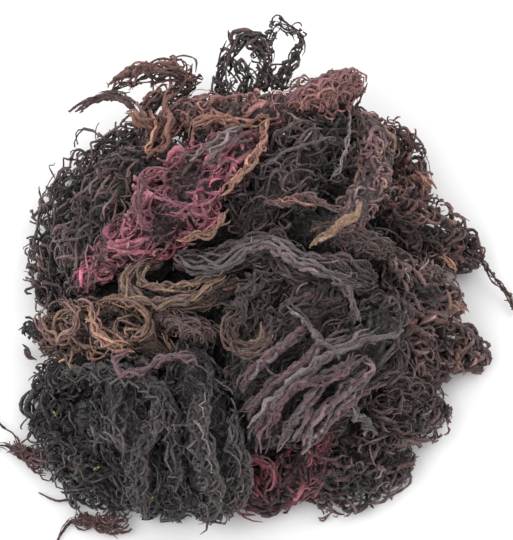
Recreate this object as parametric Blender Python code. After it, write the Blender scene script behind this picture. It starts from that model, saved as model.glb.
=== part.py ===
"""Dried purple sea moss: a springy heap of tangled, curled fronds, as it is sold by weight.

Run it with: blender --background --python part.py

Each frond is one closed solid: a slim twisted core along each of its limbs, long strands that
wind along the core and stand off it between their two ends, and short hooked tips. The fronds
lie on and beside each other without crossing. Lengths here are millimetres, and a mesh is
written in metres.
"""

import math
from typing import NamedTuple

import bmesh
import bpy
import numpy as np
from mathutils import Matrix

METRES = 0.001
LOOK_DOWN = math.radians(65)  # how steeply the heap is looked down on where places are given as seen
HEAP_BACK = 20.0  # moves the heap along +Y, so that the origin is under its middle
GAP = 0.5  # clear space between two fronds
BALL_SPACING = 3.0  # the space of a frond is a row of balls this far apart along its limbs
PULL, PULLS = 0.88, 24  # one step of drawing a point in towards its limb, and the most steps

CORE_LEAST, CORE_SHARE = 1.0, 0.42  # the core's radius: so much, and so large a share of the reach
CORE_GAP = 1.4  # a core's facets are long, so they keep further from the next frond
CORE_SIDES, CORE_STEP = 6, 9.0
CORE_RIDGE, CORE_TWIST = 0.2, 0.05
CORE_LUMPS = 0.12  # how far the core's surface strays, as a share of its radius

SIDES = 3  # of a strand or a tip
STRAND_STEP = 7.0  # between two rings of a strand
STRAND_SPAN = (0.62, 0.95)  # how much of the limb's length a strand runs along
SWING = (25, 42)  # how far along the limb a strand goes in one swing to and fro
STRAND_OUT = (0.78, 1.08)  # how far out a strand runs, as a share of the reach
STRAND_ROOT, STRAND_DIP = 0.25, 11.0  # a strand's ends sit so far out, and rise over such a run
TIP_RINGS, TIP_ROOT = 5, 0.15
TIP_OUT = (1.0, 1.5)  # how far out a tip ends, as a share of the reach
TIP_RUN = (3, 9)  # how far along the limb a tip leans
TIPS_AT_ENDS = 0.35  # the share of the tips that carry on from an end of their limb
THINNEST = 0.5  # the least radius of a strand or a tip

FACETS_KEPT = 0.56  # the share of a frond's facets left once the small ones are merged
SHORTEST_EDGE = 0.05
PRESSED = 0.4  # what is nearer to the table than this lies flat on it
SEED, DRAWS = 41, 12  # a frond whose skin touches itself is drawn again, at most so often


class Frond(NamedTuple):
    """One dried plant. A limb is a row of stations: across, up as seen, height, and reach."""

    name: str
    tint: tuple  # the colour of most of it, linear RGB
    limbs: tuple
    strands: int
    tips: int
    girth: float  # the radius of a strand
    curl: float  # how far a strand swings round its limb, in radians
    spread: float = 2.0  # how far round from the top strands lie, in radians


def seen(*stations):
    """Stations given as the camera sees them: across, up the picture, height over the table, reach."""
    rows = np.array(stations, float)
    rows[:, 1] = (rows[:, 1] - rows[:, 2] * math.cos(LOOK_DOWN)) / math.sin(LOOK_DOWN) + HEAP_BACK
    return rows


def lying(*stations):
    """Stations given in the heap's own axes: x, y, height over the table, reach."""
    return np.array(stations, float)


FRONDS = (
    Frond("rose_frond", (0.28, 0.09, 0.12), (
        seen((1, 50, 54, 10), (-12, 41, 58, 14), (-28, 28, 57, 17), (-42, 15, 50, 15),
             (-57, 5, 37, 9), (-68, -7, 25, 6)),
    ), 7, 4, 2.3, 0.9, 1.7),
    Frond("coral_frond", (0.33, 0.13, 0.10), (
        seen((40, 73, 48, 9), (29, 67, 52, 11), (16, 63, 54, 11), (4, 61, 54, 11),
             (-9, 59, 52, 11), (-23, 61, 47, 10), (-36, 57, 40, 7), (-42, 47, 36, 5)),
    ), 6, 5, 2.2, 0.9, 1.8),
    Frond("crest_frond", (0.10, 0.08, 0.075), (
        seen((-12, 63, 38, 8), (-14, 74, 45, 6), (-12, 83, 53, 5), (-6, 91, 60, 5), (1, 90, 61, 5),
             (3, 82, 56, 7), (2, 72, 48, 8)),
        seen((3, 86, 60, 4), (8, 96, 64, 4), (15, 94, 62, 4), (17, 87, 58, 4), (12, 80, 52, 5),
             (8, 71, 46, 6)),
        seen((-7, 66, 42, 6), (-4, 76, 50, 5), (-9, 83, 55, 3)),
    ), 5, 6, 1.3, 0.9, 3.1),
    Frond("horn_frond", (0.20, 0.09, 0.08), (
        seen((-22, 76, 36, 6), (-33, 80, 38, 8), (-43, 78, 36, 7), (-51, 74, 32, 4.5),
             (-60, 71, 28, 2.4), (-69, 68, 23, 1.6), (-76, 64, 16, 1.1)),
        seen((-57, 72, 29, 2), (-51, 67, 30, 2.2), (-47, 60, 33, 2.4), (-46, 53, 31, 3)),
        seen((-26, 75, 34, 7), (-38, 69, 32, 8), (-46, 61, 30, 5)),
    ), 4, 3, 1.4, 0.9, 2.6),
    Frond("umber_rim_frond", (0.12, 0.085, 0.08), (
        seen((-46, 56, 20, 10), (-59, 47, 15, 12), (-69, 38, 11, 13), (-76, 27, 9, 13),
             (-80, 13, 8, 13), (-80, 0, 8, 13), (-80, -15, 7, 12)),
    ), 6, 6, 1.7, 1.1, 2.2),
    Frond("umber_frond", (0.10, 0.075, 0.07), (
        seen((-44, 46, 36, 12), (-51, 36, 36, 14), (-56, 26, 34, 17), (-62, 14, 29, 17),
             (-67, 2, 23, 14), (-70, -8, 17, 12)),
    ), 6, 3, 1.9, 1.0, 1.7),
    Frond("heart_frond", (0.11, 0.08, 0.08), (
        seen((38, 60, 42, 14), (27, 50, 47, 16), (15, 39, 51, 18), (3, 26, 50, 17),
             (-4, 14, 45, 12)),
    ), 7, 3, 1.9, 1.0, 1.6),
    Frond("ochre_frond", (0.27, 0.16, 0.11), (
        seen((43, 60, 46, 8), (46, 47, 50, 9), (46, 37, 53, 9), (42, 28, 56, 9), (36, 20, 57, 7),
             (28, 13, 57, 4)),
    ), 3, 2, 2.0, 0.8, 1.6),
    Frond("slate_frond", (0.15, 0.12, 0.12), (
        seen((-31, 4, 49, 6), (-17, 3, 53, 7), (-3, 7, 55, 8), (7, 8, 55, 8), (18, 1, 53, 9),
             (31, -1, 51, 9), (45, -4, 46, 8)),
    ), 5, 2, 1.9, 0.8, 1.6),
    Frond("golden_frond", (0.30, 0.19, 0.10), (
        seen((-36, 3, 45, 3), (-46, 0, 42, 5), (-50, -7, 40, 7), (-43, -13, 42, 9),
             (-30, -14, 45, 9), (-18, -11, 46, 8), (-7, -5, 45, 6)),
    ), 4, 2, 1.7, 0.6, 1.6),
    Frond("tan_frond", (0.24, 0.13, 0.10), (
        seen((-84, -25, 8, 10), (-69, -25, 19, 14), (-56, -26, 29, 16), (-43, -28, 34, 14),
             (-33, -32, 37, 10)),
    ), 5, 4, 1.9, 1.0, 1.8),
    Frond("soot_rim_frond", (0.05, 0.05, 0.05), (
        seen((-57, -34, 18, 12), (-70, -39, 11, 14), (-81, -52, 8, 12), (-75, -68, 8, 12),
             (-63, -81, 8, 13), (-47, -88, 7, 11)),
    ), 5, 5, 2.2, 1.0, 2.1),
    Frond("soot_frond", (0.06, 0.06, 0.06), (
        seen((-54, -34, 28, 12), (-49, -48, 29, 16), (-46, -64, 25, 16), (-42, -81, 16, 14),
             (-39, -92, 8, 11)),
    ), 4, 2, 2.6, 0.9, 1.6),
    Frond("ash_frond", (0.10, 0.10, 0.10), (
        seen((-27, -29, 41, 13), (-22, -46, 37, 16), (-19, -63, 31, 17), (-17, -80, 21, 16),
             (-18, -94, 10, 13)),
        seen((-21, -56, 31, 10), (-27, -69, 20, 11), (-30, -83, 12, 12), (-32, -95, 6, 10)),
    ), 7, 3, 2.6, 0.7, 1.7),
    Frond("violet_frond", (0.15, 0.11, 0.13), (
        seen((54, -13, 38, 12), (42, -28, 41, 17), (28, -40, 39, 19), (14, -52, 34, 18),
             (2, -64, 26, 14)),
    ), 6, 2, 3.0, 0.7, 1.6),
    Frond("plum_frond", (0.12, 0.08, 0.10), (
        seen((30, -8, 47, 11), (16, -20, 49, 13), (3, -32, 47, 14), (-6, -47, 40, 11)),
    ), 4, 2, 2.4, 0.8, 1.5),
    Frond("crimson_frond", (0.30, 0.09, 0.10), (
        seen((28, -61, 20, 8), (21, -70, 15, 12), (13, -80, 11, 13), (2, -86, 8, 12),
             (-4, -78, 11, 9)),
    ), 5, 3, 2.1, 0.9, 2.0),
    Frond("bark_foot_frond", (0.15, 0.10, 0.09), (
        seen((19, -86, 5, 9), (32, -88, 6, 12), (46, -83, 7, 13), (59, -72, 8, 12)),
    ), 4, 4, 1.7, 1.1, 2.2),
    Frond("bark_frond", (0.16, 0.11, 0.10), (
        seen((44, -55, 20, 12), (55, -61, 14, 14), (66, -61, 9, 13), (76, -56, 6, 10)),
        seen((54, -63, 12, 12), (40, -73, 8, 13), (26, -73, 8, 10)),
    ), 5, 3, 1.9, 1.1, 2.0),
    Frond("russet_foot_frond", (0.17, 0.11, 0.10), (
        seen((55, -26, 24, 13), (70, -28, 14, 14), (83, -31, 8, 14), (91, -38, 6, 10)),
        seen((58, -29, 20, 12), (64, -40, 13, 12), (73, -43, 8, 10)),
    ), 5, 4, 1.8, 1.1, 2.0),
    Frond("russet_frond", (0.15, 0.10, 0.10), (
        seen((51, 3, 38, 11), (62, -6, 29, 13), (72, -11, 19, 13), (81, -15, 11, 11)),
    ), 4, 3, 1.9, 1.0, 1.8),
    Frond("maroon_rim_frond", (0.16, 0.10, 0.09), (
        seen((55, 20, 30, 12), (68, 17, 19, 15), (80, 10, 11, 15), (89, 2, 7, 10)),
        seen((90, 3, 7, 2.6), (96, -5, 6, 2), (100, -10, 4, 1.6), (103, -17, 2, 1.1)),
    ), 4, 4, 1.8, 1.1, 2.0),
    Frond("maroon_frond", (0.18, 0.11, 0.10), (
        seen((47, 55, 32, 11), (57, 51, 22, 12), (64, 43, 15, 12), (64, 32, 13, 12), (57, 27, 22, 11),
             (49, 26, 30, 9)),
    ), 4, 4, 1.8, 1.1, 2.2),
    Frond("wine_sprig", (0.16, 0.07, 0.07), (
        seen((-86, -73, 4, 3), (-93, -70, 4, 2.6), (-99, -68, 3, 1.6), (-104, -72, 1.5, 1.1)),
        seen((-90, -71, 4, 1.8), (-95, -65, 4, 1.3), (-99, -60, 3, 1.2), (-104, -55, 1.5, 1)),
    ), 0, 2, 0.8, 0.9, 2.4),
    Frond("claret_sprig", (0.16, 0.07, 0.07), (
        seen((-56, -99, 4, 3), (-64, -97, 4, 2.6), (-72, -97, 3, 1.7), (-77, -105, 1.5, 1.1)),
        seen((-66, -96, 4, 1.8), (-74, -91, 3, 1.3), (-84, -87, 1.5, 1)),
    ), 0, 2, 0.8, 0.9, 2.4),
    Frond("under_frond", (0.05, 0.045, 0.045), (
        lying((-56, -6, 3, 14), (-30, -4, 2, 18), (0, 0, 2, 20), (30, -4, 2, 18), (56, -6, 3, 14)),
        lying((-50, 11, 8, 15), (-20, 14, 8, 16), (20, 14, 8, 16), (50, 12, 8, 15)),
        lying((-52, 40, 8, 14), (-18, 54, 9, 15), (18, 54, 9, 15), (44, 44, 8, 15), (62, 28, 8, 14)),
        lying((-34, -32, 7, 14), (-6, -24, 7, 15), (24, -26, 7, 15), (46, -28, 8, 14)),
        lying((-44, -12, 8, 14), (-36, -36, 7, 14), (-12, -59, 7, 15), (18, -59, 7, 15),
              (42, -38, 7, 14), (52, -12, 8, 14)),
        lying((-54, -10, 8, 15), (-60, 12, 8, 15), (-54, 40, 8, 14)),
        lying((54, -10, 8, 15), (64, 10, 8, 15), (58, 34, 8, 14)),
    ), 0, 0, 2.6, 0.7, 1.2),
    Frond("middle_frond", (0.05, 0.045, 0.05), (
        lying((-50, 4, 24, 14), (-26, 20, 30, 16), (0, 24, 32, 16), (24, 20, 33, 15),
              (44, 12, 32, 14), (60, 10, 24, 12)),
        lying((-14, 14, 30, 14), (-10, -14, 30, 15), (-7, -42, 22, 14), (-8, -68, 12, 12)),
        lying((34, 14, 30, 14), (46, -8, 26, 14), (52, -32, 18, 13)),
    ), 5, 0, 2.4, 0.8, 1.4),
    Frond("back_frond", (0.08, 0.06, 0.06), (
        lying((-54, 54, 6, 13), (-34, 64, 8, 17), (-8, 68, 8, 19), (18, 67, 8, 19),
              (42, 58, 7, 16)),
    ), 4, 4, 2.0, 0.9, 2.2),
    Frond("shoulder_frond", (0.09, 0.065, 0.065), (
        lying((-30, 48, 30, 14), (-8, 56, 34, 14), (16, 55, 34, 14), (36, 44, 30, 14)),
    ), 4, 3, 2.1, 0.8, 2.2),
)


def smooth_route(stations, spacing):
    """Rows about that far apart on a Catmull-Rom curve through the stations, reach included."""
    rows = np.vstack([2 * stations[0] - stations[1], stations, 2 * stations[-1] - stations[-2]])
    length = np.linalg.norm(np.diff(stations[:, :3], axis=0), axis=1).sum()
    place = np.linspace(0, len(stations) - 1, max(4, round(length / spacing) + 1))
    span = np.minimum(place.astype(int), len(stations) - 2)
    t = (place - span)[:, None]
    a, b, c, d = (rows[span + k] for k in range(4))
    route = b + 0.5 * t * (c - a + t * (2 * a - 5 * b + 4 * c - d + t * (3 * b - a - 3 * c + d)))
    route[:, 3] = np.maximum(route[:, 3], stations[:, 3].min())
    return route


def unit(vectors):
    return vectors / np.linalg.norm(vectors, axis=1, keepdims=True)


def frame_of(path):
    """The way along at each point of a path, and two across it: one near upright, one level."""
    along = unit(np.gradient(path, axis=0))
    upright = np.array([0.05, 0.1, 1.0])
    top = unit(upright - (along @ upright)[:, None] * along)
    return along, top, np.cross(along, top)


def depth_in(points, balls):
    """Distance from each point to a frond's space, negative inside, and its nearest ball there."""
    gaps = np.linalg.norm(points[:, None] - balls[None, :, :3], axis=2) - balls[None, :, 3]
    return gaps.min(axis=1), gaps.argmin(axis=1)


def eased(share):
    """The shares with each dip widened and rounded, and nowhere more than they were."""
    padded = np.concatenate([share[:1], share[:1], share, share[-1:], share[-1:]])
    least = np.minimum(np.minimum(padded[:-2], padded[1:-1]), padded[2:])
    return (least[:-2] + least[1:-1] + least[2:]) / 3


def bent_clear(points, name, spaces, girth, gap, in_a_row):
    """The points, each drawn in towards its own limb until what has that girth there misses every
    other frond and the table. A point is a frond's own where it is deeper in its space than in any
    other's. The points of one strand come in a row, and are drawn in smoothly."""
    own = spaces[name]
    home = own[depth_in(points, own)[1], :3]
    share = np.ones(len(points))
    for _ in range(PULLS):
        eased_share = eased(share) if in_a_row else share
        here = home + eased_share[:, None] * (points - home)
        here[:, 2] = np.maximum(here[:, 2], girth / 2)
        others = np.min([depth_in(here, s)[0] for n, s in spaces.items() if n != name], axis=0)
        crowded = others - depth_in(here, own)[0] < 2 * girth + gap
        if not crowded.any():
            break
        share[crowded] *= PULL
    return here


def tube_faces(rings, sides):
    """Triangles between the rings of a tube, and over its first and last ring. They are triangles
    from the start, because the Boolean leaves many-sided faces that no longer lie in a plane."""
    faces = []
    for ring in range(rings - 1):
        for side in range(sides):
            a, b = ring * sides + side, ring * sides + (side + 1) % sides
            faces += [(a, b, b + sides), (a, b + sides, a + sides)]
    last = (rings - 1) * sides
    for side in range(1, sides - 1):
        faces += [(0, side + 1, side), (last, last + side, last + side + 1)]
    return faces


def mesh_object(name, points, faces):
    mesh = bpy.data.meshes.new(name)
    mesh.from_pydata([tuple(p) for p in points * METRES], [], faces)
    return bpy.data.objects.new(name, mesh)


def core_of(frond, limb, spaces, rng):
    """A twisted, ridged rod along a limb, flattened where it lies on the table."""
    route = smooth_route(limb, CORE_STEP)
    _, top, side = frame_of(route[:, :3])
    angle = np.linspace(0, 2 * math.pi, CORE_SIDES, endpoint=False)
    run = np.arange(len(route))[:, None] * CORE_STEP
    ridged = CORE_RIDGE * np.where(np.arange(CORE_SIDES) % 2, -1, 1)
    strays = rng.uniform(-CORE_LUMPS, CORE_LUMPS, (len(route), CORE_SIDES))
    reach = route[:, 3]
    ends = np.minimum(1, 0.45 + np.minimum(np.arange(len(route)), np.arange(len(route))[::-1]) / 2)
    thick = np.minimum(reach, CORE_LEAST + CORE_SHARE * reach * ends)
    slim = np.clip(reach / 6, 0, 1)[:, None]
    radius = thick[:, None] * (1 + slim * (ridged + strays))
    turn = angle + CORE_TWIST * run
    points = (route[:, None, :3]
              + (radius * np.cos(turn))[..., None] * top[:, None]
              + (radius * np.sin(turn))[..., None] * side[:, None]).reshape(-1, 3)
    points = bent_clear(points, frond.name, spaces, 0.0, CORE_GAP, False)
    return mesh_object(frond.name, points, tube_faces(len(route), CORE_SIDES))


def placed(limb, run, turn, out):
    """Points so far along a limb, so far round it from its top, and out by a share of its reach."""
    route = smooth_route(limb, BALL_SPACING)
    frame = frame_of(route[:, :3])
    length = BALL_SPACING * (len(route) - 1)
    at = np.clip(run, 0, length) / BALL_SPACING
    places = np.arange(len(route))
    way, top, side, centre, reach = (
        np.stack([np.interp(at, places, column) for column in rows.T], axis=1)
        for rows in (*frame, route[:, :3], route[:, 3:]))
    radius = (np.maximum(reach[:, 0], 2.5) * out)[:, None]
    overrun = (run - np.clip(run, 0, length))[:, None]
    return (centre + overrun * way + radius * np.cos(turn)[:, None] * top
            + radius * np.sin(turn)[:, None] * side)


def shoot(frond, points, girths, spaces):
    """A tube along the points, bent clear of the other fronds, as thick at each as its girth."""
    points = bent_clear(points, frond.name, spaces, girths.max(), GAP, True)
    _, top, level = frame_of(points)
    angle = np.linspace(0, 2 * math.pi, SIDES, endpoint=False)
    skin = (points[:, None]
            + (girths[:, None] * np.cos(angle))[..., None] * top[:, None]
            + (girths[:, None] * np.sin(angle))[..., None] * level[:, None]).reshape(-1, 3)
    skin[:, 2] = np.maximum(skin[:, 2], 0)
    return mesh_object(frond.name + "_shoot", skin, tube_faces(len(points), SIDES))


def strand(frond, limb, lane, swing, spaces, rng):
    """A long strand. It leaves the core, winds along its lane, stands off the core, and dips back
    in at its far end. The lane runs from -1 to 1 across what is seen of the limb, and the strands
    of a frond swing together, so that they lie side by side."""
    length = np.linalg.norm(np.diff(limb[:, :3], axis=0), axis=1).sum()
    span = length * rng.uniform(*STRAND_SPAN)
    start = rng.uniform(0, length - span)
    count = max(5, round(span / STRAND_STEP) + 1)
    t = np.linspace(0, 1, count)
    run = start + span * t
    phase = 2 * math.pi * run / swing + rng.uniform(-0.5, 0.5)
    turn = lane * frond.spread + rng.uniform(-0.1, 0.1) + frond.curl * np.sin(phase) / 2
    rise = np.clip(np.minimum(t, 1 - t) * span / STRAND_DIP, 0, 1) ** 0.7
    far = rng.uniform(*STRAND_OUT) + 0.1 * np.cos(phase * 1.3 + 4 * lane)
    out = STRAND_ROOT + (far - STRAND_ROOT) * rise
    return shoot(frond, placed(limb, run, turn, out), np.full(count, frond.girth), spaces)


def tip(frond, limb, spaces, rng):
    """A short shoot that leaves the core, hooks over as it goes, and thins to a blunt point."""
    length = np.linalg.norm(np.diff(limb[:, :3], axis=0), axis=1).sum()
    t = np.linspace(0, 1, TIP_RINGS)
    way = rng.choice((-1, 1))
    lean, far = rng.uniform(*TIP_RUN), rng.uniform(*TIP_OUT)
    if rng.random() < TIPS_AT_ENDS:
        root, lean, far = length * (way > 0) - 2 * way, 2 * lean, 0.7 * far
    else:
        root = rng.uniform(0.1, 0.9) * length
    run = root + way * lean * t
    hook = rng.choice((-1, 1)) * rng.uniform(0.3, 0.9)
    turn = rng.uniform(-1, 1) * frond.spread + hook * t ** 2
    out = TIP_ROOT + (far - TIP_ROOT) * np.sin(1.9 * t)
    girths = np.maximum(frond.girth * (0.95 - 0.5 * t), THINNEST)
    return shoot(frond, placed(limb, run, turn, out), girths, spaces)


def keep_outer_skin(mesh):
    """Leaves only the largest of the mesh's skins: the others wrap a sealed hollow or a loose scrap."""
    work = bmesh.new()
    work.from_mesh(mesh)
    bmesh.ops.triangulate(work, faces=work.faces)
    left, skins = set(work.verts), []
    while left:
        front = [left.pop()]
        skin = set(front)
        while front:
            reached = {edge.other_vert(vert) for vert in front for edge in vert.link_edges} & left
            left -= reached
            skin |= reached
            front = list(reached)
        faces = {face for vert in skin for face in vert.link_faces}
        volume = sum(a.co.dot(b.co.cross(c.co)) for a, b, c in (face.verts for face in faces))
        skins.append((volume, skin))
    outer = max(skins, key=lambda found: found[0])[1]
    bmesh.ops.delete(work, geom=[vert for vert in work.verts if vert not in outer], context="VERTS")
    work.to_mesh(mesh)
    work.free()


def finish_skin(mesh):
    """Presses what all but touches the table flat on it, and draws together the ends of edges too
    short to matter."""
    work = bmesh.new()
    work.from_mesh(mesh)
    for vert in work.verts:
        if vert.co.z < PRESSED * METRES:
            vert.co.z = 0
    bmesh.ops.remove_doubles(work, verts=work.verts, dist=SHORTEST_EDGE * METRES)
    bmesh.ops.dissolve_degenerate(work, edges=work.edges, dist=SHORTEST_EDGE * METRES)
    bmesh.ops.triangulate(work, faces=work.faces)
    work.to_mesh(mesh)
    work.free()


def is_sound(mesh):
    """Whether each edge has just two faces once points a micrometre apart count as one."""
    points = np.array([vert.co for vert in mesh.vertices]) / METRES
    _, same = np.unique(np.round(points, 3), axis=0, return_inverse=True)
    a, b, c = same.reshape(-1)[np.array([face.vertices for face in mesh.polygons])].T
    whole = (a != b) & (b != c) & (c != a)
    edges = np.concatenate([np.stack(ends, axis=1)[whole] for ends in ((a, b), (b, c), (c, a))])
    uses = np.unique(np.sort(edges, axis=1), axis=0, return_counts=True)[1]
    return bool((uses == 2).all())


def solid_under(thing, modifier):
    """What the modifier makes of the object, as a mesh of its own, with the modifier taken off."""
    bpy.context.view_layer.update()
    graph = bpy.context.evaluated_depsgraph_get()
    made = bpy.data.meshes.new_from_object(thing.evaluated_get(graph))
    thing.modifiers.remove(modifier)
    return made


def fused(core, pieces):
    """Joins the pieces to the core in one skin, removes the loose ones, and merges small facets."""
    loose = bpy.data.collections.new(core.name + "_pieces")
    for piece in pieces:
        loose.objects.link(piece)
    bpy.context.scene.collection.children.link(loose)
    union = core.modifiers.new("join", "BOOLEAN")
    union.operation = "UNION"
    union.operand_type = "COLLECTION"
    union.collection = loose
    union.solver = "MANIFOLD"
    core.data = solid_under(core, union)
    keep_outer_skin(core.data)
    for piece in pieces:
        bpy.data.objects.remove(piece)
    bpy.data.collections.remove(loose)
    merge = core.modifiers.new("merge", "DECIMATE")
    merge.ratio = FACETS_KEPT
    core.data = solid_under(core, merge)
    finish_skin(core.data)


def material_of(frond):
    """Dry, slightly leathery seaweed in the frond's own colour."""
    material = bpy.data.materials.new(frond.name)
    material.use_nodes = True
    shader = material.node_tree.nodes["Principled BSDF"]
    shader.inputs["Base Color"].default_value = (*frond.tint, 1)
    shader.inputs["Roughness"].default_value = 0.7
    shader.inputs["Metallic"].default_value = 0.0
    return material


def drawn(frond, spaces, rng):
    """One frond: its cores, its strands side by side in lanes, and its tips, in one skin."""
    cores = [core_of(frond, limb, spaces, rng) for limb in frond.limbs]
    sizes = np.array([len(limb) * limb[:, 3].mean() ** 0.5 for limb in frond.limbs])
    shares = sizes / sizes.sum()
    swing = rng.uniform(*SWING)
    pieces = []
    for lane in rng.permutation(np.linspace(-1, 1, frond.strands)):
        limb = frond.limbs[rng.choice(len(cores), p=shares)]
        pieces.append(strand(frond, limb, lane, swing, spaces, rng))
    for _ in range(frond.tips):
        pieces.append(tip(frond, frond.limbs[rng.choice(len(cores), p=shares)], spaces, rng))
    core = cores[0]
    bpy.context.scene.collection.objects.link(core)
    fused(core, cores[1:] + pieces)
    return core


def make_frond(frond, number, spaces):
    for draw in range(DRAWS):
        made = drawn(frond, spaces, np.random.default_rng([SEED, number, draw]))
        if is_sound(made.data):
            made.data.materials.clear()
            made.data.materials.append(material_of(frond))
            return
        bpy.data.objects.remove(made)
    raise RuntimeError(frond.name + " has no sound draw")


def centre_on_origin(things):
    """Slides the heap over the table until its box is centred on the origin."""
    points = np.array([vert.co for thing in things for vert in thing.data.vertices])
    middle = (points.min(axis=0) + points.max(axis=0)) / 2
    for thing in things:
        thing.data.transform(Matrix.Translation((-middle[0], -middle[1], 0)))


def main():
    for thing in list(bpy.data.objects):
        bpy.data.objects.remove(thing)
    spaces = {frond.name: np.vstack([smooth_route(limb, BALL_SPACING) for limb in frond.limbs])
              for frond in FRONDS}
    for number, frond in enumerate(FRONDS):
        make_frond(frond, number, spaces)
    centre_on_origin(bpy.context.scene.objects)


main()
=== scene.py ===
"""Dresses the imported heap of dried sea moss: every frond gets its fine strands, ropes and tips."""

import math
from typing import NamedTuple

import bpy
import numpy as np
from bpy.props import FloatProperty, FloatVectorProperty, IntProperty, PointerProperty
from bpy.types import Operator, Panel, PropertyGroup
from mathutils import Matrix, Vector


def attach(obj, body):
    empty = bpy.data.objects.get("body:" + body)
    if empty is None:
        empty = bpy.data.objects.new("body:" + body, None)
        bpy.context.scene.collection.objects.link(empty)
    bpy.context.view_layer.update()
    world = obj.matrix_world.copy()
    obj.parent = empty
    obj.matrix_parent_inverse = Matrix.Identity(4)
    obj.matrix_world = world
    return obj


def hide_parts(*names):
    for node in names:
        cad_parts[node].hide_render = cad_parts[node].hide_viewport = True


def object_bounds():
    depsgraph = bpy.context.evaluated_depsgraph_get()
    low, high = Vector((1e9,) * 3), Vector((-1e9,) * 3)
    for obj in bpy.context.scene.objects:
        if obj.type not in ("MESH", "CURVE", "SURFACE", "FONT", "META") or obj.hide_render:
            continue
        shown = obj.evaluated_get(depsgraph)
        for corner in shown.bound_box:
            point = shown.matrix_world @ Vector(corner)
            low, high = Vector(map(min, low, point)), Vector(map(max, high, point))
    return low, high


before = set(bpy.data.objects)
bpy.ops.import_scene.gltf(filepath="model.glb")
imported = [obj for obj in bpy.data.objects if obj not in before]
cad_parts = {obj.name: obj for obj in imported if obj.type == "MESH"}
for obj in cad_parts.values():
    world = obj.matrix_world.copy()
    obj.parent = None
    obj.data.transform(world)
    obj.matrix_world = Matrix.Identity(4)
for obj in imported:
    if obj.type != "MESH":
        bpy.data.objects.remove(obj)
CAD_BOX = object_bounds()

bl_info = {
    "name": "Dried sea moss heap",
    "version": (1, 0, 0),
    "blender": (4, 5, 0),
    "location": "3D View > Sidebar > Sea Moss",
    "description": "Makes the fine strands, matted ropes and sprigs of a heap of dried sea moss",
    "category": "Add Mesh",
}

METRES = 0.001
TURN = 2 * math.pi
LOOK_DOWN = math.radians(65)  # how steeply the camera looks down on the heap
TOWARDS_EYE = np.array([0, -math.cos(LOOK_DOWN), math.sin(LOOK_DOWN)])

# The heap. Lengths are millimetres wherever no heading says metres.
HEAP_BACK = 20.0  # as in the solids: the heap lies this far back along +Y
HEAP_SHIFT = (0.43, -0.86)  # the solids were slid by this to centre their box
STANDS_PROUD = 3.0  # a strand may stand this far out of the solids' box
TABLE_GAP = 0.05  # every strand stays this far over the table

# Limbs.
LIMB_STEPS = 16  # points of a limb's line from one station to the next
END_RUN = 0.1  # a limb goes on past its last stations for this share of its reach
END_ROUND = 0.9  # its ends close over this share of its reach
END_LEAST = 0.03  # this share of that closing length is always left
HUMP_WAVES = ((2, 5.5), (1, -3.4), (3, 8.5))  # humps round a limb, and length of a radian along it
HOLLOWS = 0.25  # a limb's strands rise and sink by this share of its reach in those humps
BURIED = 0.68  # strands nearer to another frond's line than this share of its reach aren't made

# How the strands of a limb run.
LEAST_STRANDS = 3  # a limb has this many of each kind at least
SLANT = (-0.22, 0.22)  # an end of a strand lies this share of reach further out than its middle
DIVE = 0.35  # a strand's two ends go into its frond by this share of half its length
DEEPEST = 0.6  # but by no more than this share of how far out it lies
SUDDEN_LENGTH = 18.0  # longer strands dive nearer to their ends
LEAST_REACH = 3.0  # strands turn and dive as if no limb had less reach
LOOP_ROOM = 0.62  # a lane is moved in by this share of the room for its loops and its straying
LOOP_SHARE = 0.8  # share of the widest loop that counts as that room
INSET_LEAST = 0.55  # at least this share of the reach is left
CALM_REACH = 6.0  # strands of a limb with less reach stray and curl less
STRAY_WAVE = (14, 34)  # length of the waves that make a strand stray
SWELL_MEAN, SWELL = 0.55, 0.45  # loops grow and shrink along a strand between these shares
SWELL_WAVE = (16, 30)  # length of a strand over which they do
LOOP_TILT = (-1.2, 1.2)  # how far the plane of the loops may lean out of the skin, in radians
SLIM_REACH, SLIMMEST = 5.0, 0.45  # strands of a limb with less reach are thinner, down to this share
OFF_SPOKE, OFF_EYE = 0.01, 0.05  # added to a direction, so that no strand runs exactly along it

# Ropes of strands.
ROPE_WIDTH = 1.7  # half width of a rope
ROPE_FILL = (0.1, 1)  # share of its round that its strands take up
ROPE_TURNS = (-1.5, 1.5)  # how often a strand winds round it, either way
ROPE_WAVE, ROPE_STRAY = (5, 11), 0.9  # length and height of its strands' own waves

# Thickness and side twigs.
NUBS = (-1.6, 1.8)  # the bell-shaped draws of a strand's thickness stay within these
TIP_POWER, TIP_LEAST = 6, 0.12  # a strand's tips thin by this power of the way to its end
TIP_LENGTH = 0.8  # the point that closes a tip stands out by this share of its radius
OFF_AXIS = 0.31  # lean of the direction that a tube's corners are counted from
RINGS_FOR_SPUR = 14  # this many rings of strand carry as many spurs as the style says
SPUR_GIRTH = (0.28, 0.52)
SPUR_LENGTH = (0.7, 1.9)
SPUR_LEAN = (-0.8, 0.8)  # back or forwards along its strand
SPUR_BEND, SPUR_TAPER = 0.45, 0.6  # shares of its length and of its radius at its tip
SPUR_SHARE = 0.9  # a spur is no thicker than this share of its strand
SPUR_RINGS, SPUR_SIDES = 3, 3

# The dark core of a limb: painted shade, a dark tube for the limb's shaded inside.
CORE_SIDES, CORE_RINGS, CORE_STEP = 14, 8, 3.0  # corners of a ring, fewest rings, way between rings
CORE_LEAST = 0.3  # least radius
CORE_RUN = 0.7  # it goes on past the last stations for this share of the limb's own ends
CORE_LUMPS = (0.16, 11), (0.1, 4.7)  # height, as a share of its radius, and length of two waves

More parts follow.
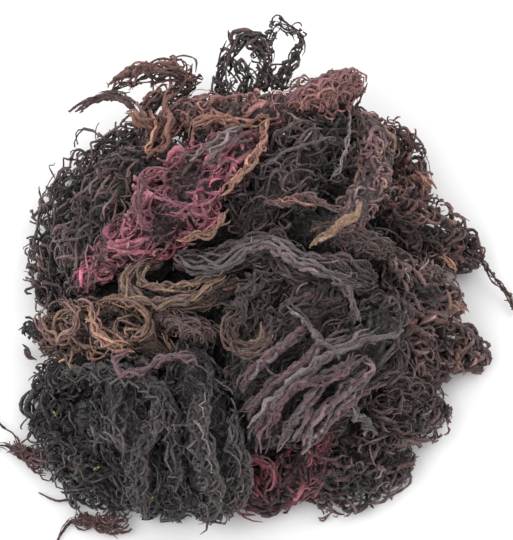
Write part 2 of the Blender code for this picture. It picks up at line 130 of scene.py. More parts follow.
# Light and shade.
TINT_SPREAD = 0.65  # how far a strand's tint goes from its frond's mean towards its own
LIGHT_SPREAD = 0.28  # spread of the draws that make a whole strand lighter or darker
LIGHT_WAVE, LIGHT_WAVES = 0.25, (0.5, 2)  # height and number of the waves of light along a strand
LIGHTEST = 0.9  # no part of a colour is over this
SHADE = (0.2, 1.3)  # least and most light of the painted shade by depth
CORE_PAINTED_SHADE = 0.22  # painted shade: a frond's inside is this light beside its own colours
DEPTH_PAINTED_SHADE = 1.8  # painted shade: how fast strands darken towards the middle of their limb, and so at their diving ends
OUTEST = 1.1  # strands further out than this share of the reach get no lighter from that painted shade
HUMP_PAINTED_LIGHT = 0.6  # painted light and shade: how much lighter strands are on the humps, and darker in the hollows
SPUR_LIGHT, SPUR_SHADE = 1.35, 0.9  # light beside its strands, and shade as if by depth
LOCK_LIGHT = 0.7  # the locks are this light beside their own colours

# Locks of strands.
LOCK_SIDES, LOCK_RINGS, LOCK_STEP = 4, (10, 34), 1.9  # corners, fewest and most rings, way between
LOOP_RINGS = 4  # rings for each loop, at least
LOCK_FILL, LOCK_TURN = (0.02, 1), (-2, 2)  # share of its round, and radians that a strand turns in it
LOCK_WAVE, LOCK_STRAY, LOCK_ROUGH = (6, 20), 1.3, 0.3  # length and height of waves, unevenness
FRAYED = 0.22  # a lock's strands start and stop within this share of its ends

# The table, the light and the camera, in metres.
TABLE_HALF = 1.6
LAMP_SIZE = 0.8
LAMPS = (("lamp_left", (-0.55, -0.35, 1.0), 1.0), ("lamp_right", (0.7, 0.45, 0.9), 0.6))
ROOM_LIGHT = 0.95
LENS, FILM_WIDTH = 200, 36  # the camera's own millimetres
CAMERA_AWAY, CAMERA_NEAR, CAMERA_FAR = 1.2, 0.05, 10

# Colours of dried weed, as linear red, green and blue.
BLACK = (0.010, 0.009, 0.010)
CHARCOAL = (0.028, 0.026, 0.028)
SLATE = (0.088, 0.068, 0.071)
LINT = (0.225, 0.19, 0.19)
PALE = (0.36, 0.30, 0.28)
UMBER = (0.055, 0.034, 0.032)
BROWN = (0.100, 0.058, 0.052)
RUSSET = (0.15, 0.070, 0.055)
TAN = (0.34, 0.20, 0.13)
OCHRE = (0.25, 0.145, 0.085)
GOLD = (0.40, 0.255, 0.15)
ORANGE = (0.42, 0.17, 0.085)
PEACH = (0.50, 0.26, 0.175)
CORAL = (0.34, 0.145, 0.125)
ROSE = (0.29, 0.080, 0.11)
MAGENTA = (0.28, 0.055, 0.11)
PINK = (0.42, 0.16, 0.21)
DUSKY = (0.25, 0.115, 0.135)
MAUVE = (0.17, 0.095, 0.105)
PLUM = (0.085, 0.038, 0.048)
WINE = (0.10, 0.028, 0.032)
CRIMSON = (0.22, 0.024, 0.040)
OLIVE = (0.30, 0.30, 0.06)


class Layer(NamedTuple):
    """One kind of strand on a frond. Lengths are millimetres."""

    share: float  # strands for each square centimetre of the limb's skin
    sides: int  # corners of each ring
    rings: int
    girth: tuple  # least and most radius of a strand
    length: tuple  # least and most length of a strand's lane
    out: tuple  # how far out the strand lies, as a share of the limb's reach
    curl: tuple  # least and most radius of its small loops
    pitch: tuple  # length of lane for one loop
    wander: float  # how far it strays from its lane
    heading: float  # how far its lane may turn from the limb's line, in radians
    rough: float  # how uneven its thickness is
    light: float  # how light it is beside the frond's own colours
    bundle: int = 1  # strands that wind together as one rope


CURLS = Layer(3.2, 3, 9, (0.28, 0.62), (3.5, 6), (0.75, 1.12), (1.0, 1.9), (4.8, 6.8), 1.5, 1.6, 0.2, 1.0)
STRAYS = Layer(0.4, 3, 15, (0.34, 0.62), (12, 26), (0.9, 1.2), (1.2, 3.0), (8, 13), 4.0, 1.3, 0.2, 1.0)
HAIRS = Layer(0.9, 3, 7, (0.16, 0.28), (4, 9), (0.8, 1.1), (0.6, 1.8), (5, 8), 1.8, 1.6, 0.1, 1.0)

# The layers of strands of each style.
DRESS = {
    "wiry": (
        Layer(4.7, 3, 11, (0.4, 0.88), (7, 15), (0.4, 1.1), (1.3, 2.8), (9, 14), 3.0, 1.5, 0.2, 1.0),
        CURLS,
        STRAYS._replace(share=0.7),
        HAIRS,
    ),
    "matted": (
        Layer(0.16, 3, 16, (0.5, 1.0), (20, 40), (0.6, 1.0), (0.6, 1.8), (12, 20), 4.0, 0.6, 0.3, 1.2, 6),
        Layer(4.5, 3, 11, (0.34, 0.8), (6, 12), (0.5, 1.1), (1.0, 2.2), (7.5, 11), 3.0, 1.6, 0.25, 0.95),
        CURLS._replace(share=5.2, girth=(0.28, 0.56), curl=(0.9, 1.7), pitch=(4.6, 6.4)),
        STRAYS._replace(share=0.3),
    ),
    "rope": (
        Layer(0.30, 3, 16, (0.5, 1.0), (26, 56), (0.5, 1.0), (0.4, 1.4), (16, 30), 3.0, 0.3, 0.3, 1.0, 6),
        Layer(3.4, 3, 12, (0.45, 0.9), (8, 18), (0.5, 1.1), (0.8, 2.2), (8, 13), 2.6, 0.7, 0.25, 0.9),
        CURLS._replace(share=3.0),
        STRAYS._replace(heading=0.8),
    ),
    "knotty": (
        Layer(0.9, 4, 16, (0.7, 1.25), (14, 26), (0.6, 1.04), (1.2, 2.6), (9, 14), 2.8, 1.2, 0.3, 0.95),
        Layer(4.8, 3, 11, (0.46, 0.98), (7, 14), (0.6, 1.12), (1.0, 2.3), (8, 12), 2.6, 1.6, 0.25, 1.0),
        CURLS._replace(share=3.9),
        STRAYS,
        HAIRS,
    ),
    "combed": (
        Layer(2.8, 3, 17, (0.45, 0.9), (24, 50), (0.5, 1.08), (0.4, 1.4), (12, 22), 2.4, 0.18, 0.25, 1.0),
        Layer(3.0, 3, 12, (0.34, 0.65), (8, 18), (0.6, 1.12), (0.8, 2.0), (8, 13), 2.4, 0.8, 0.2, 1.0),
        CURLS._replace(share=2.0),
        STRAYS._replace(heading=0.6),
    ),
    "twiggy": (
        Layer(9, 3, 12, (0.28, 0.55), (6, 14), (0.2, 1.4), (0.8, 2.0), (5, 9), 2.0, 0.8, 0.25, 1.0),
    ),
}
# Radius of a limb's core as a share of its reach, and its strands' spurs, by style.
CORE_SHARE = {"wiry": 0.36, "matted": 0.5, "rope": 0.5, "knotty": 0.5, "combed": 0.36, "twiggy": 0.2}
SPURS_EACH = {"wiry": 0.6, "matted": 0.5, "rope": 0.6, "knotty": 1.0, "combed": 0.4, "twiggy": 0.8}


def seen(*stations):
    """Stations as the camera sees them: across, up the picture, height over the table, reach.

    A place up the picture is the sine of how steeply the camera looks down times the way back along
    the table, plus its cosine times the height. That is solved here for the way back.
    """
    rows = np.array(stations, float)
    rows[:, 1] = (rows[:, 1] - rows[:, 2] * math.cos(LOOK_DOWN)) / math.sin(LOOK_DOWN) + HEAP_BACK
    rows[:, :2] += HEAP_SHIFT
    return rows


def lying(*stations):
    """Stations in the heap's own axes: x, y, height over the table, reach."""
    rows = np.array(stations, float)
    rows[:, :2] += HEAP_SHIFT
    return rows


class Frond(NamedTuple):
    """One frond: its solid's name, its style, its colours with their shares, its limbs, and how many
    strands, how thick a core and how light it has beside others of its style."""

    name: str
    style: str
    tints: tuple
    limbs: tuple
    fullness: float = 1.0
    inside: float = 1.0
    light: float = 1.0


FRONDS = (
    Frond("rose_frond", "knotty", ((5, ROSE), (3, MAGENTA), (1, PINK), (3, WINE), (4, DUSKY), (1, CORAL)), (
        seen((1, 50, 54, 10), (-12, 41, 58, 14), (-28, 28, 57, 17), (-42, 15, 50, 15), (-57, 5, 37, 9),
             (-68, -7, 25, 6)),), 1.1, 1.0, 1.1),
    Frond("coral_frond", "knotty", ((5, CORAL), (3, RUSSET), (1, PEACH), (3, BROWN), (4, DUSKY)), (
        seen((40, 73, 48, 9), (29, 67, 52, 11), (16, 63, 54, 11), (4, 61, 54, 11), (-9, 59, 52, 11),
             (-23, 61, 47, 10), (-36, 57, 40, 7), (-42, 47, 36, 5)),), 1.0, 1.0, 1.05),
    Frond("crest_frond", "wiry", ((4, UMBER), (3, SLATE), (2, LINT), (3, BROWN), (1, RUSSET)), (
        seen((-12, 63, 38, 8), (-14, 74, 45, 6), (-12, 83, 53, 5), (-6, 91, 60, 5), (1, 90, 61, 5),
             (3, 82, 56, 7), (2, 72, 48, 8)),
        seen((3, 86, 60, 4), (8, 96, 64, 4), (15, 94, 62, 4), (17, 87, 58, 4), (12, 80, 52, 5),
             (8, 71, 46, 6)),
        seen((-7, 66, 42, 6), (-4, 76, 50, 5), (-9, 83, 55, 3))), 0.56, 0.16),
    Frond("horn_frond", "wiry", ((4, BROWN), (4, RUSSET), (2, CORAL), (3, UMBER)), (
        seen((-22, 76, 36, 6), (-33, 80, 38, 7.5), (-43, 78, 36, 6.5), (-51, 74, 32, 3.6),
             (-60, 71, 28, 1.6), (-69, 68, 23, 0.8), (-76, 64, 16, 0.5)),
        seen((-57, 72, 29, 2), (-51, 67, 30, 2.2), (-47, 60, 33, 2.4), (-46, 53, 31, 3)),
        seen((-26, 75, 34, 7), (-38, 69, 32, 8), (-46, 61, 30, 5))), 0.6, 0.2, 1.2),
    Frond("umber_rim_frond", "wiry", ((4, UMBER), (3, BROWN), (2, MAUVE), (2, SLATE)), (
        seen((-46, 56, 20, 10), (-59, 47, 15, 12), (-69, 38, 11, 13), (-76, 27, 9, 13), (-80, 13, 8, 13),
             (-80, 0, 8, 13), (-80, -15, 7, 12)),), 0.7, 0.3),
    Frond("umber_frond", "wiry", ((4, UMBER), (3, BROWN), (3, SLATE), (2, MAUVE), (1, RUSSET)), (
        seen((-44, 46, 36, 12), (-51, 36, 36, 14), (-56, 26, 34, 17), (-62, 14, 29, 17), (-67, 2, 23, 14),
             (-70, -8, 17, 12)),), 1.0, 1.0, 1.12),
    Frond("heart_frond", "wiry", ((4, UMBER), (2, SLATE), (1, LINT), (4, BROWN), (1, RUSSET), (3, MAUVE)), (
        seen((38, 60, 42, 14), (27, 50, 47, 16), (15, 39, 51, 18), (3, 26, 50, 17), (-4, 14, 45, 12)),),
        1.1, 1.0, 0.7),
    Frond("ochre_frond", "knotty", ((5, MAUVE), (3, BROWN), (3, DUSKY), (1, OCHRE), (1, TAN), (1, LINT)), (
        seen((43, 60, 46, 8), (46, 47, 50, 9), (46, 37, 53, 9), (42, 28, 56, 9), (36, 20, 57, 7),
             (28, 13, 57, 4)),), 1.0, 1.0, 1.2),
    Frond("slate_frond", "combed", ((4, SLATE), (2, LINT), (3, BROWN), (4, MAUVE), (1, TAN)), (
        seen((-31, 4, 49, 6), (-17, 3, 53, 7), (-3, 7, 55, 8), (7, 8, 55, 8), (18, 1, 53, 9),
             (31, -1, 51, 9), (45, -4, 46, 8)),), 1.0, 1.0, 0.55),
    Frond("golden_frond", "combed", ((2, OCHRE), (4, TAN), (1, GOLD), (5, BROWN), (4, MAUVE)), (
        seen((-36, 3, 45, 3), (-46, 0, 43, 4), (-50, -6, 42, 5), (-43, -11, 44, 7), (-30, -12, 47, 7),
             (-18, -10, 48, 6), (-7, -5, 47, 5)),), 1.1, 0.8, 0.6),
    Frond("tan_frond", "wiry", ((4, TAN), (4, RUSSET), (3, BROWN), (2, MAUVE), (1, PEACH)), (
        seen((-84, -25, 8, 10), (-69, -25, 19, 14), (-56, -26, 29, 16), (-43, -28, 34, 14),
             (-33, -32, 37, 10)),), 1.0, 0.8, 1.0),
    Frond("soot_rim_frond", "matted", ((5, BLACK), (4, CHARCOAL), (2, SLATE), (1, BROWN)), (
        seen((-57, -34, 18, 12), (-70, -39, 11, 14), (-81, -52, 8, 12), (-75, -68, 8, 12),
             (-63, -81, 8, 13), (-47, -88, 7, 11)),), 0.8, 0.5),
    Frond("soot_frond", "matted", ((5, BLACK), (5, CHARCOAL), (3, SLATE)), (
        seen((-54, -34, 28, 12), (-49, -48, 29, 16), (-46, -64, 25, 16), (-42, -81, 16, 14),
             (-39, -92, 8, 11)),), 0.9, 1.0, 1.15),
    Frond("ash_frond", "matted", ((4, CHARCOAL), (5, SLATE), (3, LINT), (1, UMBER)), (
        seen((-27, -29, 41, 13), (-22, -46, 37, 16), (-19, -63, 31, 17), (-17, -80, 21, 16),
             (-18, -94, 10, 13)),
        seen((-21, -56, 31, 10), (-27, -69, 20, 11), (-30, -83, 12, 12), (-32, -95, 6, 10))),
        0.75, 1.0, 0.42),
    Frond("violet_frond", "rope", ((4, PLUM), (4, MAUVE), (3, SLATE), (2, LINT), (2, WINE)), (
        seen((54, -13, 38, 12), (42, -28, 41, 17), (28, -40, 39, 19), (14, -52, 34, 18),
             (2, -64, 26, 14)),), 1.0, 1.0, 0.38),
    Frond("plum_frond", "rope", ((4, PLUM), (3, WINE), (3, MAUVE), (1, LINT), (2, BROWN)), (
        seen((30, -8, 47, 11), (16, -20, 49, 13), (3, -32, 47, 14), (-6, -47, 40, 11)),), 1.0, 1.0, 0.3),
    Frond("crimson_frond", "knotty", ((4, CRIMSON), (4, ROSE), (3, WINE), (3, PLUM)), (
        seen((28, -61, 20, 8), (21, -70, 15, 12), (13, -80, 11, 13), (2, -86, 8, 12),
             (-4, -78, 11, 9)),), 1.0, 0.8, 0.82),
    Frond("bark_foot_frond", "wiry", ((4, BROWN), (3, UMBER), (2, RUSSET), (3, SLATE), (1, LINT)), (
        seen((19, -86, 5, 9), (32, -86, 6, 11), (46, -81, 7, 12), (58, -70, 8, 11)),), 0.65, 0.2),
    Frond("bark_frond", "wiry", ((4, BROWN), (3, UMBER), (2, RUSSET), (3, MAUVE), (1, LINT)), (
        seen((44, -55, 20, 12), (54, -60, 14, 13), (64, -59, 9, 11), (73, -54, 6, 8)),
        seen((54, -63, 12, 12), (40, -72, 8, 12), (26, -73, 8, 10))), 0.7, 0.3),
    Frond("russet_foot_frond", "knotty", ((4, BROWN), (3, RUSSET), (3, UMBER), (2, MAUVE)), (
        seen((55, -26, 24, 13), (69, -28, 14, 13), (81, -31, 8, 12), (89, -37, 6, 8)),
        seen((58, -29, 20, 12), (64, -39, 13, 11), (72, -42, 8, 9))), 0.75, 0.3, 1.5),
    Frond("russet_frond", "knotty", ((4, BROWN), (2, RUSSET), (3, UMBER), (2, MAUVE), (1, LINT)), (
        seen((51, 3, 38, 11), (61, -6, 29, 13), (71, -11, 19, 12), (79, -15, 11, 9)),), 0.75, 0.5, 1.45),
    Frond("maroon_rim_frond", "knotty", ((4, BROWN), (3, RUSSET), (3, WINE), (2, MAUVE)), (
        seen((55, 20, 30, 12), (67, 16, 19, 14), (78, 9, 11, 13), (87, 2, 7, 9)),
        seen((90, 3, 7, 2.6), (96, -5, 6, 2), (100, -10, 4, 1.6), (103, -17, 2, 1.1))), 0.7, 0.3),
    Frond("maroon_frond", "knotty", ((4, BROWN), (3, RUSSET), (3, WINE), (2, MAUVE), (1, CORAL)), (
        seen((46, 54, 32, 11), (55, 49, 22, 11), (61, 42, 15, 11), (61, 32, 13, 11), (56, 27, 22, 11),
             (49, 26, 30, 9)),), 0.75, 0.4),
    Frond("wine_sprig", "twiggy", ((4, WINE), (2, RUSSET), (2, PLUM)), (
        seen((-86, -73, 4, 3), (-93, -70, 4, 2.6), (-99, -68, 3, 1.2), (-104, -72, 1.5, 0.5)),
        seen((-90, -71, 4, 1.6), (-94, -64, 4, 0.8), (-99, -61, 3, 0.6), (-104, -55, 1.5, 0.3)))),
    Frond("claret_sprig", "twiggy", ((4, WINE), (2, RUSSET), (2, PLUM)), (
        seen((-56, -99, 4, 3), (-64, -97, 4, 2.6), (-72, -97, 3, 1.2), (-77, -105, 1.5, 0.5)),
        seen((-66, -96, 4, 1.6), (-71, -89, 3, 0.8), (-77, -89, 2, 0.6), (-84, -86, 1.5, 0.3)))),
    # Painted shade: strands under the heap, coloured black and umber to stand for the shade there.
    Frond("under_frond", "rope", ((4, BLACK), (4, UMBER)), (
        lying((-56, -6, 3, 14), (-30, -4, 2, 18), (0, 0, 2, 20), (30, -4, 2, 18), (56, -6, 3, 14)),
        lying((-50, 11, 8, 15), (-20, 14, 8, 16), (20, 14, 8, 16), (50, 12, 8, 15)),
        lying((-52, 40, 8, 14), (-18, 54, 9, 15), (18, 54, 9, 15), (44, 44, 8, 15), (62, 28, 8, 14)),
        lying((-34, -32, 7, 14), (-6, -24, 7, 15), (24, -26, 7, 15), (46, -28, 8, 14)),
        lying((-44, -12, 8, 14), (-36, -36, 7, 14), (-12, -59, 7, 15), (18, -59, 7, 15),
              (42, -38, 7, 14), (52, -12, 8, 14)),
        lying((-54, -10, 8, 15), (-60, 12, 8, 15), (-54, 40, 8, 14)),
        lying((54, -10, 8, 15), (64, 10, 8, 15), (58, 34, 8, 14))), 0.07),
    # Painted shade: strands inside the heap, coloured black, umber and slate to stand for the shade there.
    Frond("middle_frond", "rope", ((4, BLACK), (4, UMBER), (1, SLATE)), (
        lying((-50, 4, 24, 14), (-26, 20, 30, 16), (0, 24, 32, 16), (24, 20, 33, 15), (44, 12, 32, 14),
              (60, 10, 24, 12)),
        lying((-14, 14, 30, 14), (-10, -14, 30, 15), (-7, -42, 22, 14), (-8, -68, 12, 12)),
        lying((34, 14, 30, 14), (46, -8, 26, 14), (52, -32, 18, 13))), 0.12),
    Frond("back_frond", "wiry", ((4, UMBER), (3, BROWN), (2, SLATE)), (
        lying((-54, 54, 6, 13), (-34, 64, 8, 17), (-8, 68, 8, 19), (18, 67, 8, 19), (42, 58, 7, 16)),), 0.55),
    Frond("shoulder_frond", "wiry", ((4, UMBER), (3, BROWN), (2, SLATE)), (
        lying((-30, 48, 30, 14), (-8, 56, 34, 14), (16, 55, 34, 14), (36, 44, 30, 14)),), 0.4),
)
# These lie inside, under or behind the heap, and have an operator of their own. The under and
# middle fronds are strands coloured black and umber as painted shade for the heap's shaded inside.
INNER = ("under_frond", "middle_frond", "back_frond", "shoulder_frond")


class Lock(NamedTuple):
    """Strands that run together along one line of the photograph, over or out of a frond.
    Girth, curl and pitch say what they do in a layer."""

    tints: tuple
    stations: tuple  # as the camera sees them
    strands: int
    girth: tuple
    curl: tuple = (0.2, 0.8)
    pitch: tuple = (6, 12)
    spurs: float = 0.6
    flare: float = 0.7  # how far the strands part at the lock's two ends


PEACHY = ((4, PEACH), (3, ORANGE), (3, CORAL), (1, TAN))
PINKISH = ((4, PINK), (4, MAGENTA), (3, ROSE))
GILT = ((3, GOLD), (4, TAN), (2, OCHRE), (4, BROWN), (3, MAUVE))
LINTY = ((4, LINT), (4, SLATE), (2, MAUVE), (1, PALE))
HEATHER = ((4, MAUVE), (3, SLATE), (3, LINT), (2, PLUM), (1, WINE))
VINOUS = ((4, PLUM), (4, WINE), (4, MAUVE), (1, LINT))
WEEDY = ((3, BROWN), (3, MAUVE), (2, UMBER), (2, SLATE), (1, TAN))
ASHEN = ((5, CHARCOAL), (5, SLATE), (1, LINT), (3, BLACK), (1, MAUVE))

# Numbers that several locks share: strands, girth, curl and pitch, with spurs and flare after them.
FELTED = (16, (0.35, 0.8), (0.9, 1.9), (6, 9), 2.4, -0.2)
MESSY = (34, (0.3, 0.62), (1.0, 2.4), (5, 9), 0.8, -0.3)
ROPY = (9, (0.42, 0.95), (0, 0.5), (6, 13), 2.0)

